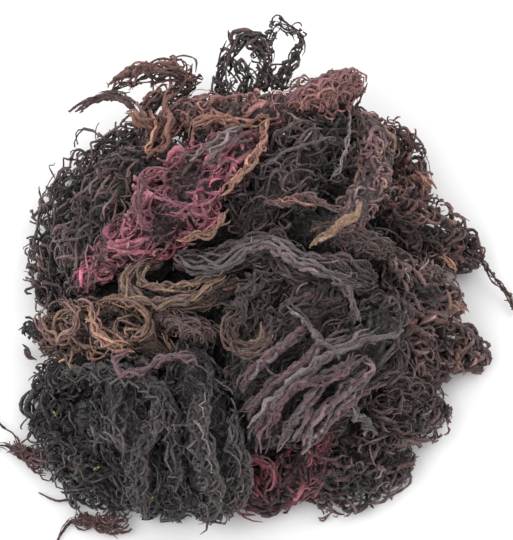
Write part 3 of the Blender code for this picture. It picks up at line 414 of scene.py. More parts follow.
LOCKS = {
    "rose_frond": (
        Lock(PEACHY, ((2.4, 60, 62, 1.5), (1.2, 48, 66, 1.5), (-3.6, 41, 69, 1.8), (-8, 35, 70, 1.6),
             (-14.4, 29.6, 70, 1.2)), 6, (0.4, 0.8)),
        Lock(PEACHY, ((-10.8, 24.8, 68, 1.2), (-12.8, 19.2, 68, 1.6), (-16.8, 13.6, 67, 1.6),
             (-23.2, 12.4, 66, 1.4), (-30.4, 8, 64, 1.2)), 5, (0.4, 0.8)),
        Lock(PINKISH, ((-38, 29, 73, 1), (-33.6, 26, 75, 1), (-26, 23.2, 76, 0.8), (-16.4, 19.2, 72, 1)),
             3, (0.36, 0.6)),
        Lock(PINKISH, ((-36.4, 20.8, 73, 1), (-26, 23.2, 76, 0.6), (-21.2, 30, 76, 0.8)), 2, (0.4, 0.6)),
        Lock(PINKISH, ((-36, 38, 72, 1), (-43.2, 34, 70, 1.2), (-44.6, 22, 70, 1.2), (-42.4, 16.8, 68, 1),
             (-34, 15.2, 69, 1)), 4, (0.4, 0.7)),
        Lock(((3, MAUVE), (3, LINT), (2, ROSE)), ((-2, 52, 69, 3), (-10, 50, 71, 4), (-16, 46, 73, 4),
             (-22, 40, 74, 4)), 9, (0.5, 0.9)),
    ),
    "coral_frond": (
        Lock(PEACHY, ((-30, 72, 52, 1), (-36.4, 64.8, 50, 1), (-34, 58.4, 50, 1.1), (-35.6, 50, 48, 1.1),
             (-44.8, 44, 44, 0.9)), 4, (0.5, 0.9)),
        Lock(PEACHY, ((-44, 63, 46, 1.2), (-39.6, 56.8, 48, 1), (-41.6, 51.2, 47, 0.8),
             (-43.6, 46.4, 45, 0.8), (-37.6, 44.4, 44, 0.7)), 3, (0.5, 0.8)),
        Lock(PEACHY, ((-48, 63, 46, 2.4), (-44, 59, 48, 2.6), (-40, 58, 46, 1.6)), 7, (0.5, 0.9)),
        Lock(PEACHY, ((-24.8, 47, 60, 1), (-23.6, 56, 64, 1.2), (-13.6, 58, 66, 1.4), (-4, 56, 66, 1.2),
             (6, 59, 65, 1)), 5, (0.4, 0.8)),
        Lock(((4, CORAL), (3, DUSKY), (2, PINK), (1, PEACH)), ((12, 64, 62, 4), (22, 67, 62, 5),
             (31, 71, 60, 6), (38, 74, 55, 6), (40, 72, 50, 5)), 44, (0.4, 0.8), (1.2, 2.2), (4, 7), 1.2,
             -0.7),
    ),
    "horn_frond": (
        Lock(((3, RUSSET), (3, BROWN), (1, DUSKY)), ((-75.5, 62.8, 16, 0.3), (-65, 68.5, 24, 0.6),
             (-58, 70, 29, 0.9), (-50, 67, 31, 1.1), (-46, 62, 32, 1.2)), 6, (0.6, 0.9), (0, 0.2),
             (9, 15)),
        Lock(((3, CORAL), (3, RUSSET), (2, BROWN)), ((-62, 72, 26, 0.6), (-54, 77, 33, 1.2),
             (-46, 80, 40, 2.0), (-36, 79, 44, 2.4), (-28, 78, 42, 1.5)), 10, (0.4, 0.8), (0.3, 1.0),
             (7, 12)),
    ),
    "umber_frond": (
        Lock(((3, BROWN), (2, SLATE)), ((-73, 49, 16, 0.5), (-71.4, 54, 20, 0.5), (-66.8, 56, 22, 0.4),
             (-61, 52, 24, 0.5)), 2, (0.35, 0.5)),
    ),
    "golden_frond": (
        Lock(GILT, ((-36, 1.2, 52, 1.4), (-39.6, 3.9, 53, 1.5), (-45.4, 2, 52, 1.5), (-49, -2, 51, 1.5),
             (-48.4, -7, 51, 1.6), (-42.8, -11.6, 52, 1.8), (-34, -12.6, 54, 1.9), (-24, -10.4, 55, 1.9),
             (-14.8, -5, 54, 1.5), (-7.6, 0.5, 53, 1)), 9, (0.38, 0.75), (0.1, 0.7), (8, 14)),
        Lock(GILT, ((-38, -1, 53, 1), (-41, 0.6, 53, 1), (-44, -1.6, 53, 1), (-43, -5, 53, 1),
             (-37, -6.6, 55, 1.3), (-28, -6.4, 56, 1.5), (-18, -3, 56, 1.1), (-11, 1, 55, 0.8)), 7,
             (0.4, 0.7)),
    ),
    "heart_frond": (
        Lock(((3, MAUVE), (2, LINT)), ((-4, 37, 67, 0.5), (3, 39.6, 69, 0.5), (12, 45, 71, 0.4),
             (22, 48.6, 70, 0.5), (37, 51, 62, 0.5)), 2, (0.36, 0.55), (0, 0.3)),
        Lock(((3, MAUVE), (2, LINT)), ((26, 30, 68, 0.5), (31, 38, 69, 0.4), (35, 49, 65, 0.4),
             (36, 63, 58, 0.4)), 2, (0.36, 0.55), (0, 0.3)),
        Lock(((3, MAUVE), (2, LINT), (2, CORAL)), ((-3, 27, 66, 0.9), (9, 25, 69, 1.0), (19, 28, 70, 0.9),
             (27, 24, 69, 0.9), (34, 22, 67, 0.8)), 5, (0.4, 0.65), (0.2, 1.0)),
        Lock(((3, CORAL), (2, TAN)), ((4, 27, 67, 0.7), (14, 26, 70, 0.8), (24, 22.6, 69, 0.7)), 3,
             (0.3, 0.5)),
    ),
    "ochre_frond": (
        Lock(((4, OCHRE), (3, GOLD), (2, TAN)), ((41, 27, 66, 0.9), (36, 20.5, 67, 1.1),
             (29, 15.6, 66, 1.0), (19.6, 8.5, 63, 0.6)), 5, (0.7, 1.1), (0, 0.3)),
    ),
    "slate_frond": (
        Lock(LINTY, ((-30, 8, 57, 2), (-24, 2, 59, 2.5), (-12, 3, 61, 2.5), (-3, 9, 63, 2.2),
             (7, 10, 63, 2.2), (16, 4, 62, 2.4), (28, 0, 60, 2.4), (42, -3, 56, 2)), 10, (0.5, 0.95),
             (0.1, 0.6), (8, 14)),
        Lock(WEEDY, ((20, 16, 51, 3), (31, 13, 53, 4), (42, 10, 51, 4.5), (52, 8, 46, 3.5)), *MESSY),
    ),
    "plum_frond": (
        Lock(((4, BROWN), (3, RUSSET), (2, TAN)), ((6, -20, 61, 3), (3.4, -27, 61, 3.2),
             (-3.2, -30.4, 60, 3.2), (-9, -27.4, 58, 3), (-9.6, -21.4, 58, 2.8), (-6, -15.5, 58, 2.4)),
             12, (0.4, 0.7)),
        Lock(((4, UMBER), (3, BROWN), (3, SLATE)), ((10, -1, 50, 4), (1, -7, 53, 6), (-4, -15, 54, 6),
             (-8, -24, 54, 4)), 34, (0.35, 0.7), (0.8, 2.0), (5, 9)),
    ),
    "violet_frond": (
        Lock(HEATHER, ((42, -32, 55, 1.3), (33, -37, 58, 1.9), (24.4, -41.4, 58, 1.2), (15, -57, 53, 2.1),
             (7.6, -69, 44, 2.5)), *ROPY),
        Lock(HEATHER, ((40.8, -33.2, 55, 1.3), (42.6, -38, 55, 1.4), (33, -45, 55, 2.3),
             (21, -56.4, 51, 1.2), (14, -67, 43, 2.4)), *ROPY),
        Lock(VINOUS, ((38, -24, 57, 1.4), (25.2, -28.6, 60, 1.5), (15.4, -36, 60, 1.5),
             (3, -45.4, 56, 1.5), (-5.4, -55, 48, 1.3)), *ROPY),
        Lock(HEATHER, ((56, -22, 50, 1.3), (44, -25, 57, 2.4), (31, -30, 60, 1.3), (18, -39, 60, 2.3),
             (5, -50, 55, 1.2), (-3, -62, 45, 2.4)), *ROPY),
        Lock(VINOUS, ((37, -31, 58, 1.2), (30, -40, 60, 2.2), (14, -44, 60, 1.2), (4, -58, 50, 2.4),
             (2, -69, 42, 1.2)), *ROPY),
        Lock(VINOUS, ((44, -41, 53, 1.3), (34, -50, 52, 1.4), (25, -59, 46, 1.4), (17, -70, 36, 1.2)),
             *ROPY),
        Lock(VINOUS, ((22, -20, 60, 1.2), (10, -28, 61, 1.3), (-2, -38, 57, 1.3), (-9, -48, 50, 1.2)),
             *ROPY),
        Lock(LINTY, ((9.2, -10, 60, 0.8), (17.2, -18.4, 62, 0.8), (25.2, -27.6, 62, 0.8),
             (31, -33, 60, 0.8)), 3, (0.7, 1.0)),
        Lock(LINTY, ((24, -1.6, 62, 0.8), (33.6, -6.8, 60, 0.8), (36.4, -12.8, 59, 0.8),
             (38, -20, 58, 0.8)), 3, (0.6, 0.9)),
        Lock(LINTY, ((30, -46, 54, 2), (36, -53, 47, 2), (41, -58, 40, 2), (43, -64, 34, 1.5)), 6,
             (0.5, 0.9), (0.8, 1.8)),
    ),
    "soot_rim_frond": (
        Lock(((4, BLACK), (4, CHARCOAL), (2, SLATE)), ((-64, -49, 11, 4), (-63, -58, 10, 4.5),
             (-59, -67, 10, 4.5), (-54, -75, 10, 4)), *MESSY),
        Lock(((1, OLIVE),), ((-78, -55, 20, 0.3), (-76.4, -55, 21, 0.3)), 2, (0.3, 0.4)),
    ),
    "soot_frond": (
        Lock(ASHEN, ((-36, -42, 44, 2.4), (-38, -56, 44, 3), (-44, -69, 40, 3.2), (-45, -83, 31, 3),
             (-42, -96, 19, 2.6)), *FELTED),
        Lock(ASHEN, ((-77, -41, 22, 2.2), (-59, -39, 36, 2.6), (-42, -43, 45, 2.8), (-33, -53, 44, 3),
             (-32, -69, 38, 3), (-28, -87, 25, 2.4)), *FELTED),
        Lock(((1, OLIVE),), ((-60.6, -75, 30, 0.3), (-58.8, -75, 31, 0.3)), 2, (0.3, 0.4)),
    ),
    "ash_frond": (
        Lock(ASHEN, ((-17, -40, 52, 2.6), (-22, -53, 51, 3.2), (-20, -69, 46, 3.4), (-16, -85, 34, 3.2),
             (-22, -97, 22, 2.6)), *FELTED),
        Lock(ASHEN, ((-9, -52, 48, 2), (-8, -66, 42, 2.6), (-5, -80, 31, 2.6), (-9, -92, 21, 2.2)),
             *FELTED),
        Lock(WEEDY, ((-40, -15, 45, 3), (-31, -19, 47, 4), (-22, -23, 47, 4.5), (-13, -26, 46, 3.5)),
             *MESSY),
        Lock(((3, MAUVE), (3, DUSKY), (2, SLATE)), ((-46, -30, 47, 1), (-53, -33, 46, 1.2),
             (-51, -39, 46, 1.2), (-44, -38, 48, 1.1), (-36, -34, 52, 1.2), (-27, -32, 55, 1),
             (-18, -38, 55, 0.9)), 6, (0.4, 0.7), (0.3, 1.0)),
        Lock(((1, OLIVE),), ((-41, -87, 22, 0.3), (-39.6, -86, 23, 0.3)), 2, (0.3, 0.4)),
    ),
    "bark_frond": (
        Lock(WEEDY, ((48, -44, 24, 3), (57, -46, 18, 4), (65, -48, 12, 4), (72, -49, 8, 3)), *MESSY),
    ),
    "tan_frond": (
        Lock(((3, DUSKY), (3, RUSSET), (2, TAN)), ((-82, -13, 26, 1.2), (-84, -20, 26, 1.3),
             (-77, -27, 31, 1.3), (-69, -22, 37, 1.2), (-70, -14, 36, 1.1), (-77, -11, 30, 1)), 6,
             (0.4, 0.7), (0.3, 1.0)),
        Lock(((3, TAN), (3, PEACH), (2, CORAL)), ((-62.4, -12, 42, 1.4), (-62, -18, 44, 1.5),
             (-60.4, -24, 45, 1.6), (-55, -28, 46, 1.6), (-46, -30.4, 47, 1.2)), 9, (0.4, 0.7)),
        Lock(((3, TAN), (3, CORAL), (2, BROWN)), ((-62, -13, 44, 1), (-56, -10, 46, 1.2),
             (-48, -12, 48, 1.2), (-41, -17, 48, 1.2), (-42, -24, 48, 1.2), (-50, -27, 47, 1)), 7,
             (0.4, 0.7)),
        Lock(((1, BLACK),), ((-90, -20.8, 12, 2.4), (-86, -23.6, 14, 3), (-81, -26, 14, 2.4)), 14,
             (0.4, 0.8), (0.8, 1.6), (3, 5)),
        Lock(((2, UMBER), (1, BROWN)), ((-91.6, -27.6, 7, 0.3), (-90, -31, 7, 0.7), (-86, -37, 6, 0.3)),
             2, (0.4, 0.6)),
    ),
    "crimson_frond": (
        Lock(((4, CRIMSON), (5, ROSE), (1, CORAL)), ((-5, -86, 20, 1.5), (-7, -80, 23, 1.5),
             (-5, -75, 26, 1.4), (0, -73, 27, 1.4), (5, -76, 27, 1.4), (3, -85, 24, 1.4)), 7, (0.4, 0.7),
             (0.5, 1.4)),
    ),
    "wine_sprig": (
        Lock(((4, WINE), (3, RUSSET), (2, BROWN)), ((-77, -76, 6, 3), (-84, -74, 5, 3.2),
             (-91, -70, 4, 2.2), (-97, -69, 3, 1)), 16, (0.28, 0.5), (0.8, 1.9), (4, 7)),
    ),
    "claret_sprig": (
        Lock(((4, WINE), (3, RUSSET), (2, BROWN)), ((-48, -97, 5, 3), (-56, -97, 5, 3.2),
             (-64, -96, 4, 2.2), (-71, -97, 3, 1)), 16, (0.28, 0.5), (0.8, 1.9), (4, 7)),
    ),
    "maroon_frond": (
        Lock(PEACHY, ((62, 39.6, 32, 1.4), (66, 36, 31, 1.6), (69.6, 31, 28, 1.2)), 5, (0.4, 0.8)),
    ),
    "maroon_rim_frond": (
        Lock(PEACHY, ((72, 5, 26, 1), (75.6, 2, 26, 1.2), (78, 0, 24, 1)), 4, (0.4, 0.7)),
    ),
    "russet_frond": (
        Lock(PEACHY, ((76, -12, 28, 0.8), (79, -14, 27, 1), (82, -17, 24, 0.8)), 3, (0.4, 0.6)),
    ),
}


def unit(vectors):
    """Each vector divided by its own length."""
    return vectors / np.maximum(np.linalg.norm(vectors, axis=-1, keepdims=True), 1e-9)


class Limb:
    """A smooth curve through a limb's stations, which can be read at any run along it.

    Between two stations the curve is the cubic whose slope at each station is half the step between
    the stations on either side of it. The limb goes on straight a little way beyond its ends, and its
    reach shrinks towards them like the half circle that closes it.
    """

    def __init__(self, stations):
        rows = np.vstack([2 * stations[0] - stations[1], stations, 2 * stations[-1] - stations[-2]])
        t = np.linspace(0, 1, LIMB_STEPS, endpoint=False)[:, None]
        before, start, end, after = (rows[k : len(rows) - 3 + k, None] for k in range(4))
        curve = start + 0.5 * t * (end - before + t * (2 * before - 5 * start + 4 * end - after
                                                      + t * (3 * (start - end) + after - before)))
        self.curve = np.vstack([curve.reshape(-1, 4), stations[-1]])
        steps = np.linalg.norm(np.diff(self.curve[:, :3], axis=0), axis=1)
        self.run = np.append(0, np.cumsum(steps))
        self.total = self.run[-1]
        self.ends = self.curve[[0, -1], 3] * END_RUN
        self.slope = unit(np.gradient(self.curve[:, :3], self.run, axis=0))

    def read(self, columns, run):
        """Each column at each run, straight between the points of the curve."""
        return np.stack([np.interp(run, self.run, column) for column in columns.T], -1)

    def at(self, run):
        """Centre, reach, slope, top and side of the limb at each run."""
        rows = self.read(self.curve, run)
        along = unit(self.read(self.slope, run))
        beyond = run - np.clip(run, 0, self.total)
        centre = rows[..., :3] + along * beyond[..., None]
        side = unit(np.cross(along, TOWARDS_EYE))
        top = np.cross(side, along)
        left = np.minimum(run + self.ends[0], self.total + self.ends[1] - run)
        closing = 1 - np.clip(left / (END_ROUND * rows[..., 3]), END_LEAST, 1)
        return centre, rows[..., 3] * np.sqrt(1 - closing**2), along, top, side

    def humps(self, run, angle):
        """Broad humps and hollows of the strands over the limb, from -1 to 1: the mean of three sines
        of angle and run, whose starts depend only on how many stations the limb has."""
        starts = np.random.default_rng(len(self.curve)).uniform(0, TURN, len(HUMP_WAVES))
        return sum(np.sin(waves_round * angle + run / radian + start)
                   for (waves_round, radian), start in zip(HUMP_WAVES, starts)) / len(HUMP_WAVES)

    def skin(self):
        """The limb's skin in square centimetres: its girth times its length."""
        return TURN * self.curve[:, 3].mean() * (self.total + self.ends.sum()) / 100


def between(rng, ends, count):
    """One number for each strand, as a column, from the lower to the higher of two ends."""
    return rng.uniform(ends[0], ends[1], (count, 1))


def waves(rng, count, along, lengths):
    """The mean of three sine waves in each of x, y and z, with their own lengths and starts."""
    size = (count, 1, 3, 3)
    phase = along[..., None, None] / rng.uniform(*lengths, size) + rng.uniform(0, 1, size)
    return np.sin(TURN * phase).mean(-1)


def turned(angle, first, second):
    """The cosine of an angle times the first direction and its sine times the second."""
    return np.cos(angle)[..., None] * first + np.sin(angle)[..., None] * second


def lane_paths(limb, layer, count, loose, rng):
    """Paths of a layer's strands, (strands, rings, xyz), how light they are painted by how far out they lie
    and by the humps (painted shade towards the limb's middle and in the hollows, painted light on the
    humps), and how slim they are made by a thin limb.

    A strand has a run along its limb, an angle round it and a share of its reach out from it. All
    three change evenly along the strand, the run by the cosine of its heading and the way round by
    the sine. Both of its ends dive into the frond by a power of the way to them, and broad humps
    lift and sink it. Its place is the limb's centre plus the share of reach times the cosine of the
    angle upwards and its sine sideways. Three slow waves make it stray, and a circle that turns once
    for each pitch, in a plane of its own that leans out of the frond's skin, makes its small loops.
    """
    t = np.linspace(-0.5, 0.5, layer.rings)
    low, high = -limb.ends[0], limb.total + limb.ends[1]
    length = between(rng, layer.length, count)
    middle = between(rng, (low, high), count)
    heading = between(rng, (-1, 1), count) * layer.heading
    run = middle + length * np.cos(heading) * t
    run = low + np.abs(run - low)
    run = high - np.abs(high - run)
    start = (rng.permutation(count)[:, None] + between(rng, (-0.5, 0.5), count)) * TURN / count
    out = between(rng, layer.out, count)
    reach = limb.at(middle)[1]
    angle = start + length * np.sin(heading) * t / np.maximum(out * reach, LEAST_REACH)
    out = out + between(rng, SLANT, count) * t * 2
    power = 2 * max(1, layer.length[1] / SUDDEN_LENGTH)
    depth = DIVE * length / 2 * np.abs(2 * t) ** power / np.maximum(reach, LEAST_REACH)
    out = out - np.minimum(depth, DEEPEST * out)
    humps = limb.humps(run, angle)
    out = out * (1 + HOLLOWS * humps)
    centre, reach, along, top, side = limb.at(run)
    slim = np.clip(reach / SLIM_REACH, SLIMMEST, 1)
    inset = LOOP_ROOM * (LOOP_SHARE * layer.curl[1] + layer.wander) * loose + layer.girth[1]
    calm = np.minimum(1, reach / CALM_REACH)[..., None]
    reach = np.maximum(INSET_LEAST * reach, reach - inset)
    spoke = turned(angle, top, side)
    points = centre + spoke * (out * reach)[..., None]
    walked = length * (t + 0.5)
    points = points + waves(rng, count, walked, STRAY_WAVE) * layer.wander * calm * loose
    ahead = unit(np.gradient(points, axis=1))
    across = unit(np.cross(ahead, spoke + OFF_SPOKE))
    over = np.cross(across, ahead)
    loop_angle = TURN * (walked / between(rng, layer.pitch, count) * rng.choice([-1, 1], (count, 1))
                         + between(rng, (0, 1), count))
    swell = SWELL_MEAN + SWELL * np.sin(TURN * (walked / between(rng, SWELL_WAVE, count)
                                                + between(rng, (0, 1), count)))
    loop = (between(rng, layer.curl, count) * swell)[..., None] * calm * loose
    tilt = between(rng, LOOP_TILT, count)
    points = points + loop * turned(loop_angle, turned(tilt, ahead, over), across)
    # Painted shade and light: strands darker the further in they lie, lighter on the humps, darker in the
    # hollows.
    return points, np.clip(out, 0, OUTEST) * (1 + HUMP_PAINTED_LIGHT * humps), slim


def buried(paths, frond):
    """For each path, whether its start, middle and end all lie deep inside the limbs of other fronds:
    nearer to a limb's line than the buried share of the limb's reach there."""
    deep = np.vstack([Limb(stations).curve[::4] for other in FRONDS if other.name != frond.name
                      for stations in other.limbs])
    marks = paths[:, [1, paths.shape[1] // 2, -2]]
    gaps = np.linalg.norm(marks[:, :, None] - deep[:, :3], axis=-1)
    return (gaps < BURIED * deep[:, 3]).any(-1).all(-1)


def bundled(paths, each, rng):
    """Each path becomes a rope of paths: a place in a disc square to it that winds slowly round it,
    plus small waves, so that the strands of the rope cross and part."""
    t = np.linspace(0, 1, paths.shape[1])
    hosts = np.repeat(paths, each, axis=0)
    count = len(hosts)
    ahead = unit(np.gradient(hosts, axis=1))
    across = unit(np.cross(ahead, TOWARDS_EYE + OFF_EYE))
    over = np.cross(across, ahead)
    angle = TURN * (between(rng, (0, 1), count) + between(rng, ROPE_TURNS, count) * t)
    out = ROPE_WIDTH * np.sqrt(between(rng, ROPE_FILL, count))[..., None]
    wound = hosts + out * turned(angle, across, over)
    run = np.linalg.norm(np.diff(paths, axis=1), axis=-1).sum(-1).mean() * np.broadcast_to(t, angle.shape)
    return wound + waves(rng, count, run, ROPE_WAVE) * ROPE_STRAY


def girths(paths, girth, rough, sides, rng):
    """Radius at each corner of each ring: one for the strand, nubby by a bell-shaped draw at each
    ring, and thinning to the two tips by a power of the way to them."""
    count, rings = paths.shape[:2]
    lumps = 1 + rough * np.clip(rng.normal(0, 1, (count, rings)), *NUBS)
    t = np.linspace(0, 1, rings)
    tips = np.sqrt(np.clip(1 - np.abs(2 * t - 1) ** TIP_POWER, TIP_LEAST, 1))
    return np.repeat((between(rng, girth, count) * lumps * tips)[..., None], sides, -1)


def spurs(paths, radius, each, rng):
    """Short side twigs: (paths, radius). Each leaves a strand at one of its rings, square to it or
    leaning along it, bends one way by the square of its length, and thins to a point."""
    count, rings = paths.shape[:2]
    many = int(count * each * rings / RINGS_FOR_SPUR)
    host, ring = rng.integers(0, count, many), rng.integers(1, rings - 1, many)
    foot = paths[host, ring]
    ahead = unit(paths[host, ring + 1] - paths[host, ring - 1])
    out = unit(np.cross(ahead, rng.normal(size=(many, 3))))
    lean = unit(out + ahead * between(rng, SPUR_LEAN, many))
    bend = unit(rng.normal(size=(many, 3)))
    t = np.linspace(0, 1, SPUR_RINGS)
    way = t[:, None]
    length = between(rng, SPUR_LENGTH, many)[..., None]
    points = foot[:, None] + length * (way * lean[:, None] + SPUR_BEND * way**2 * bend[:, None])
    thick = np.minimum(between(rng, SPUR_GIRTH, many),
                       radius[host, ring].mean(-1, keepdims=True) * SPUR_SHARE)
    return points, np.repeat((thick * (1 - SPUR_TAPER * t))[..., None], SPUR_SIDES, -1)


def kept_in(points, radius, box):
    """Points moved so that a strand of this radius stays on the table and near the solids' box."""
    points[..., 2] = np.maximum(points[..., 2], radius.max(-1) + TABLE_GAP)
    return np.clip(points, *box)


def swept(paths, radius, sides):
    """Closed tubes along many paths at once: (points, quads, triangles).

    At each point of a path the slope is the step between its neighbours, and a first direction across
    it comes from the axis that the path as a whole runs along least. The ring is the path's point
    plus the radius times the cosine of the angle in that direction and its sine in the one square to
    both. One more point closes each end.
    """
    count, rings = paths.shape[:2]
    along = unit(np.gradient(paths, axis=1))
    mean = unit(along.mean(1, keepdims=True))
    weakest = np.eye(3)[np.argmin(np.abs(mean), axis=-1)]
    first = unit(np.cross(along, weakest + OFF_AXIS * np.roll(weakest, 1, -1)))
    flip = np.where((first[:, 1:] * first[:, :-1]).sum(-1) < 0, -1.0, 1.0)
    first[:, 1:] *= np.cumprod(flip, axis=1)[..., None]
    second = np.cross(along, first)
    around = np.arange(sides)
    ring = turned(TURN * around / sides, first[:, :, None], second[:, :, None])
    skin = paths[:, :, None] + ring * radius[..., None]
    tips = along[:, [0, -1]] * radius[:, [0, -1], :1] * [[-TIP_LENGTH], [TIP_LENGTH]]
    points = np.concatenate([skin.reshape(count, -1, 3), paths[:, [0, -1]] + tips], axis=1)
    each = rings * sides + 2
    base = (np.arange(count) * each)[:, None, None]
    beside = (around + 1) % sides
    ring_start = np.arange(rings - 1)[:, None] * sides
    here, near = (ring_start + around).reshape(-1), (ring_start + beside).reshape(-1)
    quads = np.stack([here, near, near + sides, here + sides], -1)
    last = (rings - 1) * sides
    caps = np.concatenate([
        np.stack([beside, around, np.full(sides, each - 2)], -1),
        np.stack([around + last, beside + last, np.full(sides, each - 1)], -1),
    ])
    return points.reshape(-1, 3), (quads + base).reshape(-1, 4), (caps + base).reshape(-1, 3)


def tinted(tints, light, shade, sides, rng):
    """A colour for every point: for each strand one of the tints, drawn by their shares and pulled
    towards their mean, then made lighter or darker as a whole by a bell-shaped draw, and along it by
    a sine wave and by its shade at each ring."""
    count, rings = shade.shape
    share = np.array([tint[0] for tint in tints], float)
    palette = np.array([tint[1] for tint in tints])
    mean = share @ palette / share.sum()
    chosen = mean + TINT_SPREAD * (palette[rng.choice(len(tints), count, p=share / share.sum())] - mean)
    chosen = chosen * np.exp(rng.normal(0, LIGHT_SPREAD, (count, 1))) * light
    t = np.linspace(0, 1, rings)
    wave = 1 + LIGHT_WAVE * np.sin(TURN * (t * between(rng, LIGHT_WAVES, count)
                                           + between(rng, (0, 1), count)))
    wave = wave * np.clip(shade, *SHADE)
    wave = np.concatenate([np.repeat(wave, sides, axis=1), wave[:, [0, -1]]], 1)
    colours = np.clip(chosen[:, None] * wave[..., None], 0, LIGHTEST)
    return np.concatenate([colours, np.ones((*wave.shape, 1))], -1).reshape(-1, 4)


class Mesh:
    """Gathers tubes until they are made into one piece."""

    def __init__(self):
        self.points, self.faces, self.colours, self.met = [], [], [], 0

    def add(self, paths, radius, tints, light, shade, rng):
        """Adds a tube along each path, coloured ring by ring. No paths add nothing."""
        count, rings, sides = radius.shape
        if not count:
            return
        points, quads, caps = swept(paths, radius, sides)
        self.faces += [quads + self.met, caps + self.met]
        self.met += len(points)
        self.points.append(points)
        self.colours.append(tinted(tints, light, np.broadcast_to(shade, (count, rings)), sides, rng))

    def piece(self, name, material):
        """The tubes as one object at the origin, with their colours and this material."""
        mesh = bpy.data.meshes.new(name)
        points = np.concatenate(self.points) * METRES
        mesh.vertices.add(len(points))
        mesh.vertices.foreach_set("co", points.astype(np.float32).ravel())
        corners = np.concatenate([faces.ravel() for faces in self.faces])
        sizes = np.concatenate([np.full(len(faces), faces.shape[1]) for faces in self.faces])
        mesh.loops.add(len(corners))
        mesh.loops.foreach_set("vertex_index", corners.astype(np.int32))
        mesh.polygons.add(len(sizes))
        starts = np.append(0, np.cumsum(sizes)[:-1])
        mesh.polygons.foreach_set("loop_start", starts.astype(np.int32))
        mesh.polygons.foreach_set("use_smooth", np.ones(len(sizes), bool))
        mesh.update(calc_edges=True)
        tint = mesh.attributes.new("tint", "FLOAT_COLOR", "POINT")
        tint.data.foreach_set("color", np.concatenate(self.colours).astype(np.float32).ravel())
        mesh.materials.append(material)
        if mesh.validate():
            raise RuntimeError(name + " has faces that share points wrongly")
        made = bpy.data.objects.new(name, mesh)
        bpy.context.scene.collection.objects.link(made)
        return made


def core_path(limb, share, rng):
    """The dark inside of a limb, which the strands stand out of, made as painted shade: its own line, and a
    share of its reach that two sine waves along it make lumpy."""
    rings = max(CORE_RINGS, int((limb.total + limb.ends.sum()) / CORE_STEP))
    run = np.linspace(-limb.ends[0] * CORE_RUN, limb.total + limb.ends[1] * CORE_RUN, rings)[None]
    centre, reach = limb.at(run)[:2]
    (high, long), (low, short) = CORE_LUMPS
    lumps = 1 + high * np.sin(TURN * (run / long + rng.uniform())) + low * np.sin(TURN * (run / short))
    return centre, np.repeat(np.maximum(CORE_LEAST, reach * share * lumps)[..., None], CORE_SIDES, -1)


def dry_weed(name, dust, dust_share):
    """A dull, dusty, finely ribbed skin: the strand's own tint, dust in patches, dark pores, bumps."""
    material = bpy.data.materials.new(name)
    material.use_nodes = True
    nodes, links = material.node_tree.nodes, material.node_tree.links
    shader = nodes["Principled BSDF"]
    place = nodes.new("ShaderNodeTexCoord")
    tint = nodes.new("ShaderNodeAttribute")
    tint.attribute_name = "tint"

    def noise(scale, detail):
        """Noise in the piece's own coordinates."""
        made = nodes.new("ShaderNodeTexNoise")
        made.inputs["Scale"].default_value = scale
        made.inputs["Detail"].default_value = detail
        made.inputs["Roughness"].default_value = 0.65
        links.new(place.outputs["Object"], made.inputs["Vector"])
        return made.outputs["Fac"]

    def spread(value, low, high, to_low, to_high):
        """A value stretched from one range to another."""
        made = nodes.new("ShaderNodeMapRange")
        for key, number in zip(("From Min", "From Max", "To Min", "To Max"), (low, high, to_low, to_high)):
            made.inputs[key].default_value = number
        links.new(value, made.inputs["Value"])
        return made.outputs["Result"]

    def blend(kind, share, first, second):
        """Two colours mixed or multiplied by a share."""
        made = nodes.new("ShaderNodeMix")
        made.data_type, made.blend_type = "RGBA", kind
        for socket, value in ((made.inputs[0], share), (made.inputs[6], first), (made.inputs[7], second)):
            if isinstance(value, bpy.types.NodeSocket):
                links.new(value, socket)
            else:
                socket.default_value = value
        return made.outputs[2]

    pores = spread(noise(scale=1500, detail=4), 0.36, 0.62, to_low=0.3, to_high=1.45)
    patches = spread(noise(scale=700, detail=6), 0.45, 0.68, to_low=0.0, to_high=dust_share)
    grain = nodes.new("ShaderNodeCombineColor")
    for channel in ("Red", "Green", "Blue"):
        links.new(pores, grain.inputs[channel])
    skin = blend("MULTIPLY", 0.8, tint.outputs["Color"], grain.outputs["Color"])
    links.new(blend("MIX", patches, skin, (*dust, 1)), shader.inputs["Base Color"])
    dullness = spread(noise(scale=420, detail=3), 0.3, 0.7, to_low=0.5, to_high=0.85)
    links.new(dullness, shader.inputs["Roughness"])
    bump = nodes.new("ShaderNodeBump")
    bump.inputs["Strength"].default_value = 0.9
    bump.inputs["Distance"].default_value = 0.35 * METRES
    links.new(noise(scale=1200, detail=5), bump.inputs["Height"])
    links.new(bump.outputs["Normal"], shader.inputs["Normal"])
    shader.inputs["Specular IOR Level"].default_value = 0.35
    shader.inputs["Sheen Weight"].default_value = 0.12
    shader.inputs["Sheen Roughness"].default_value = 0.5
    return material


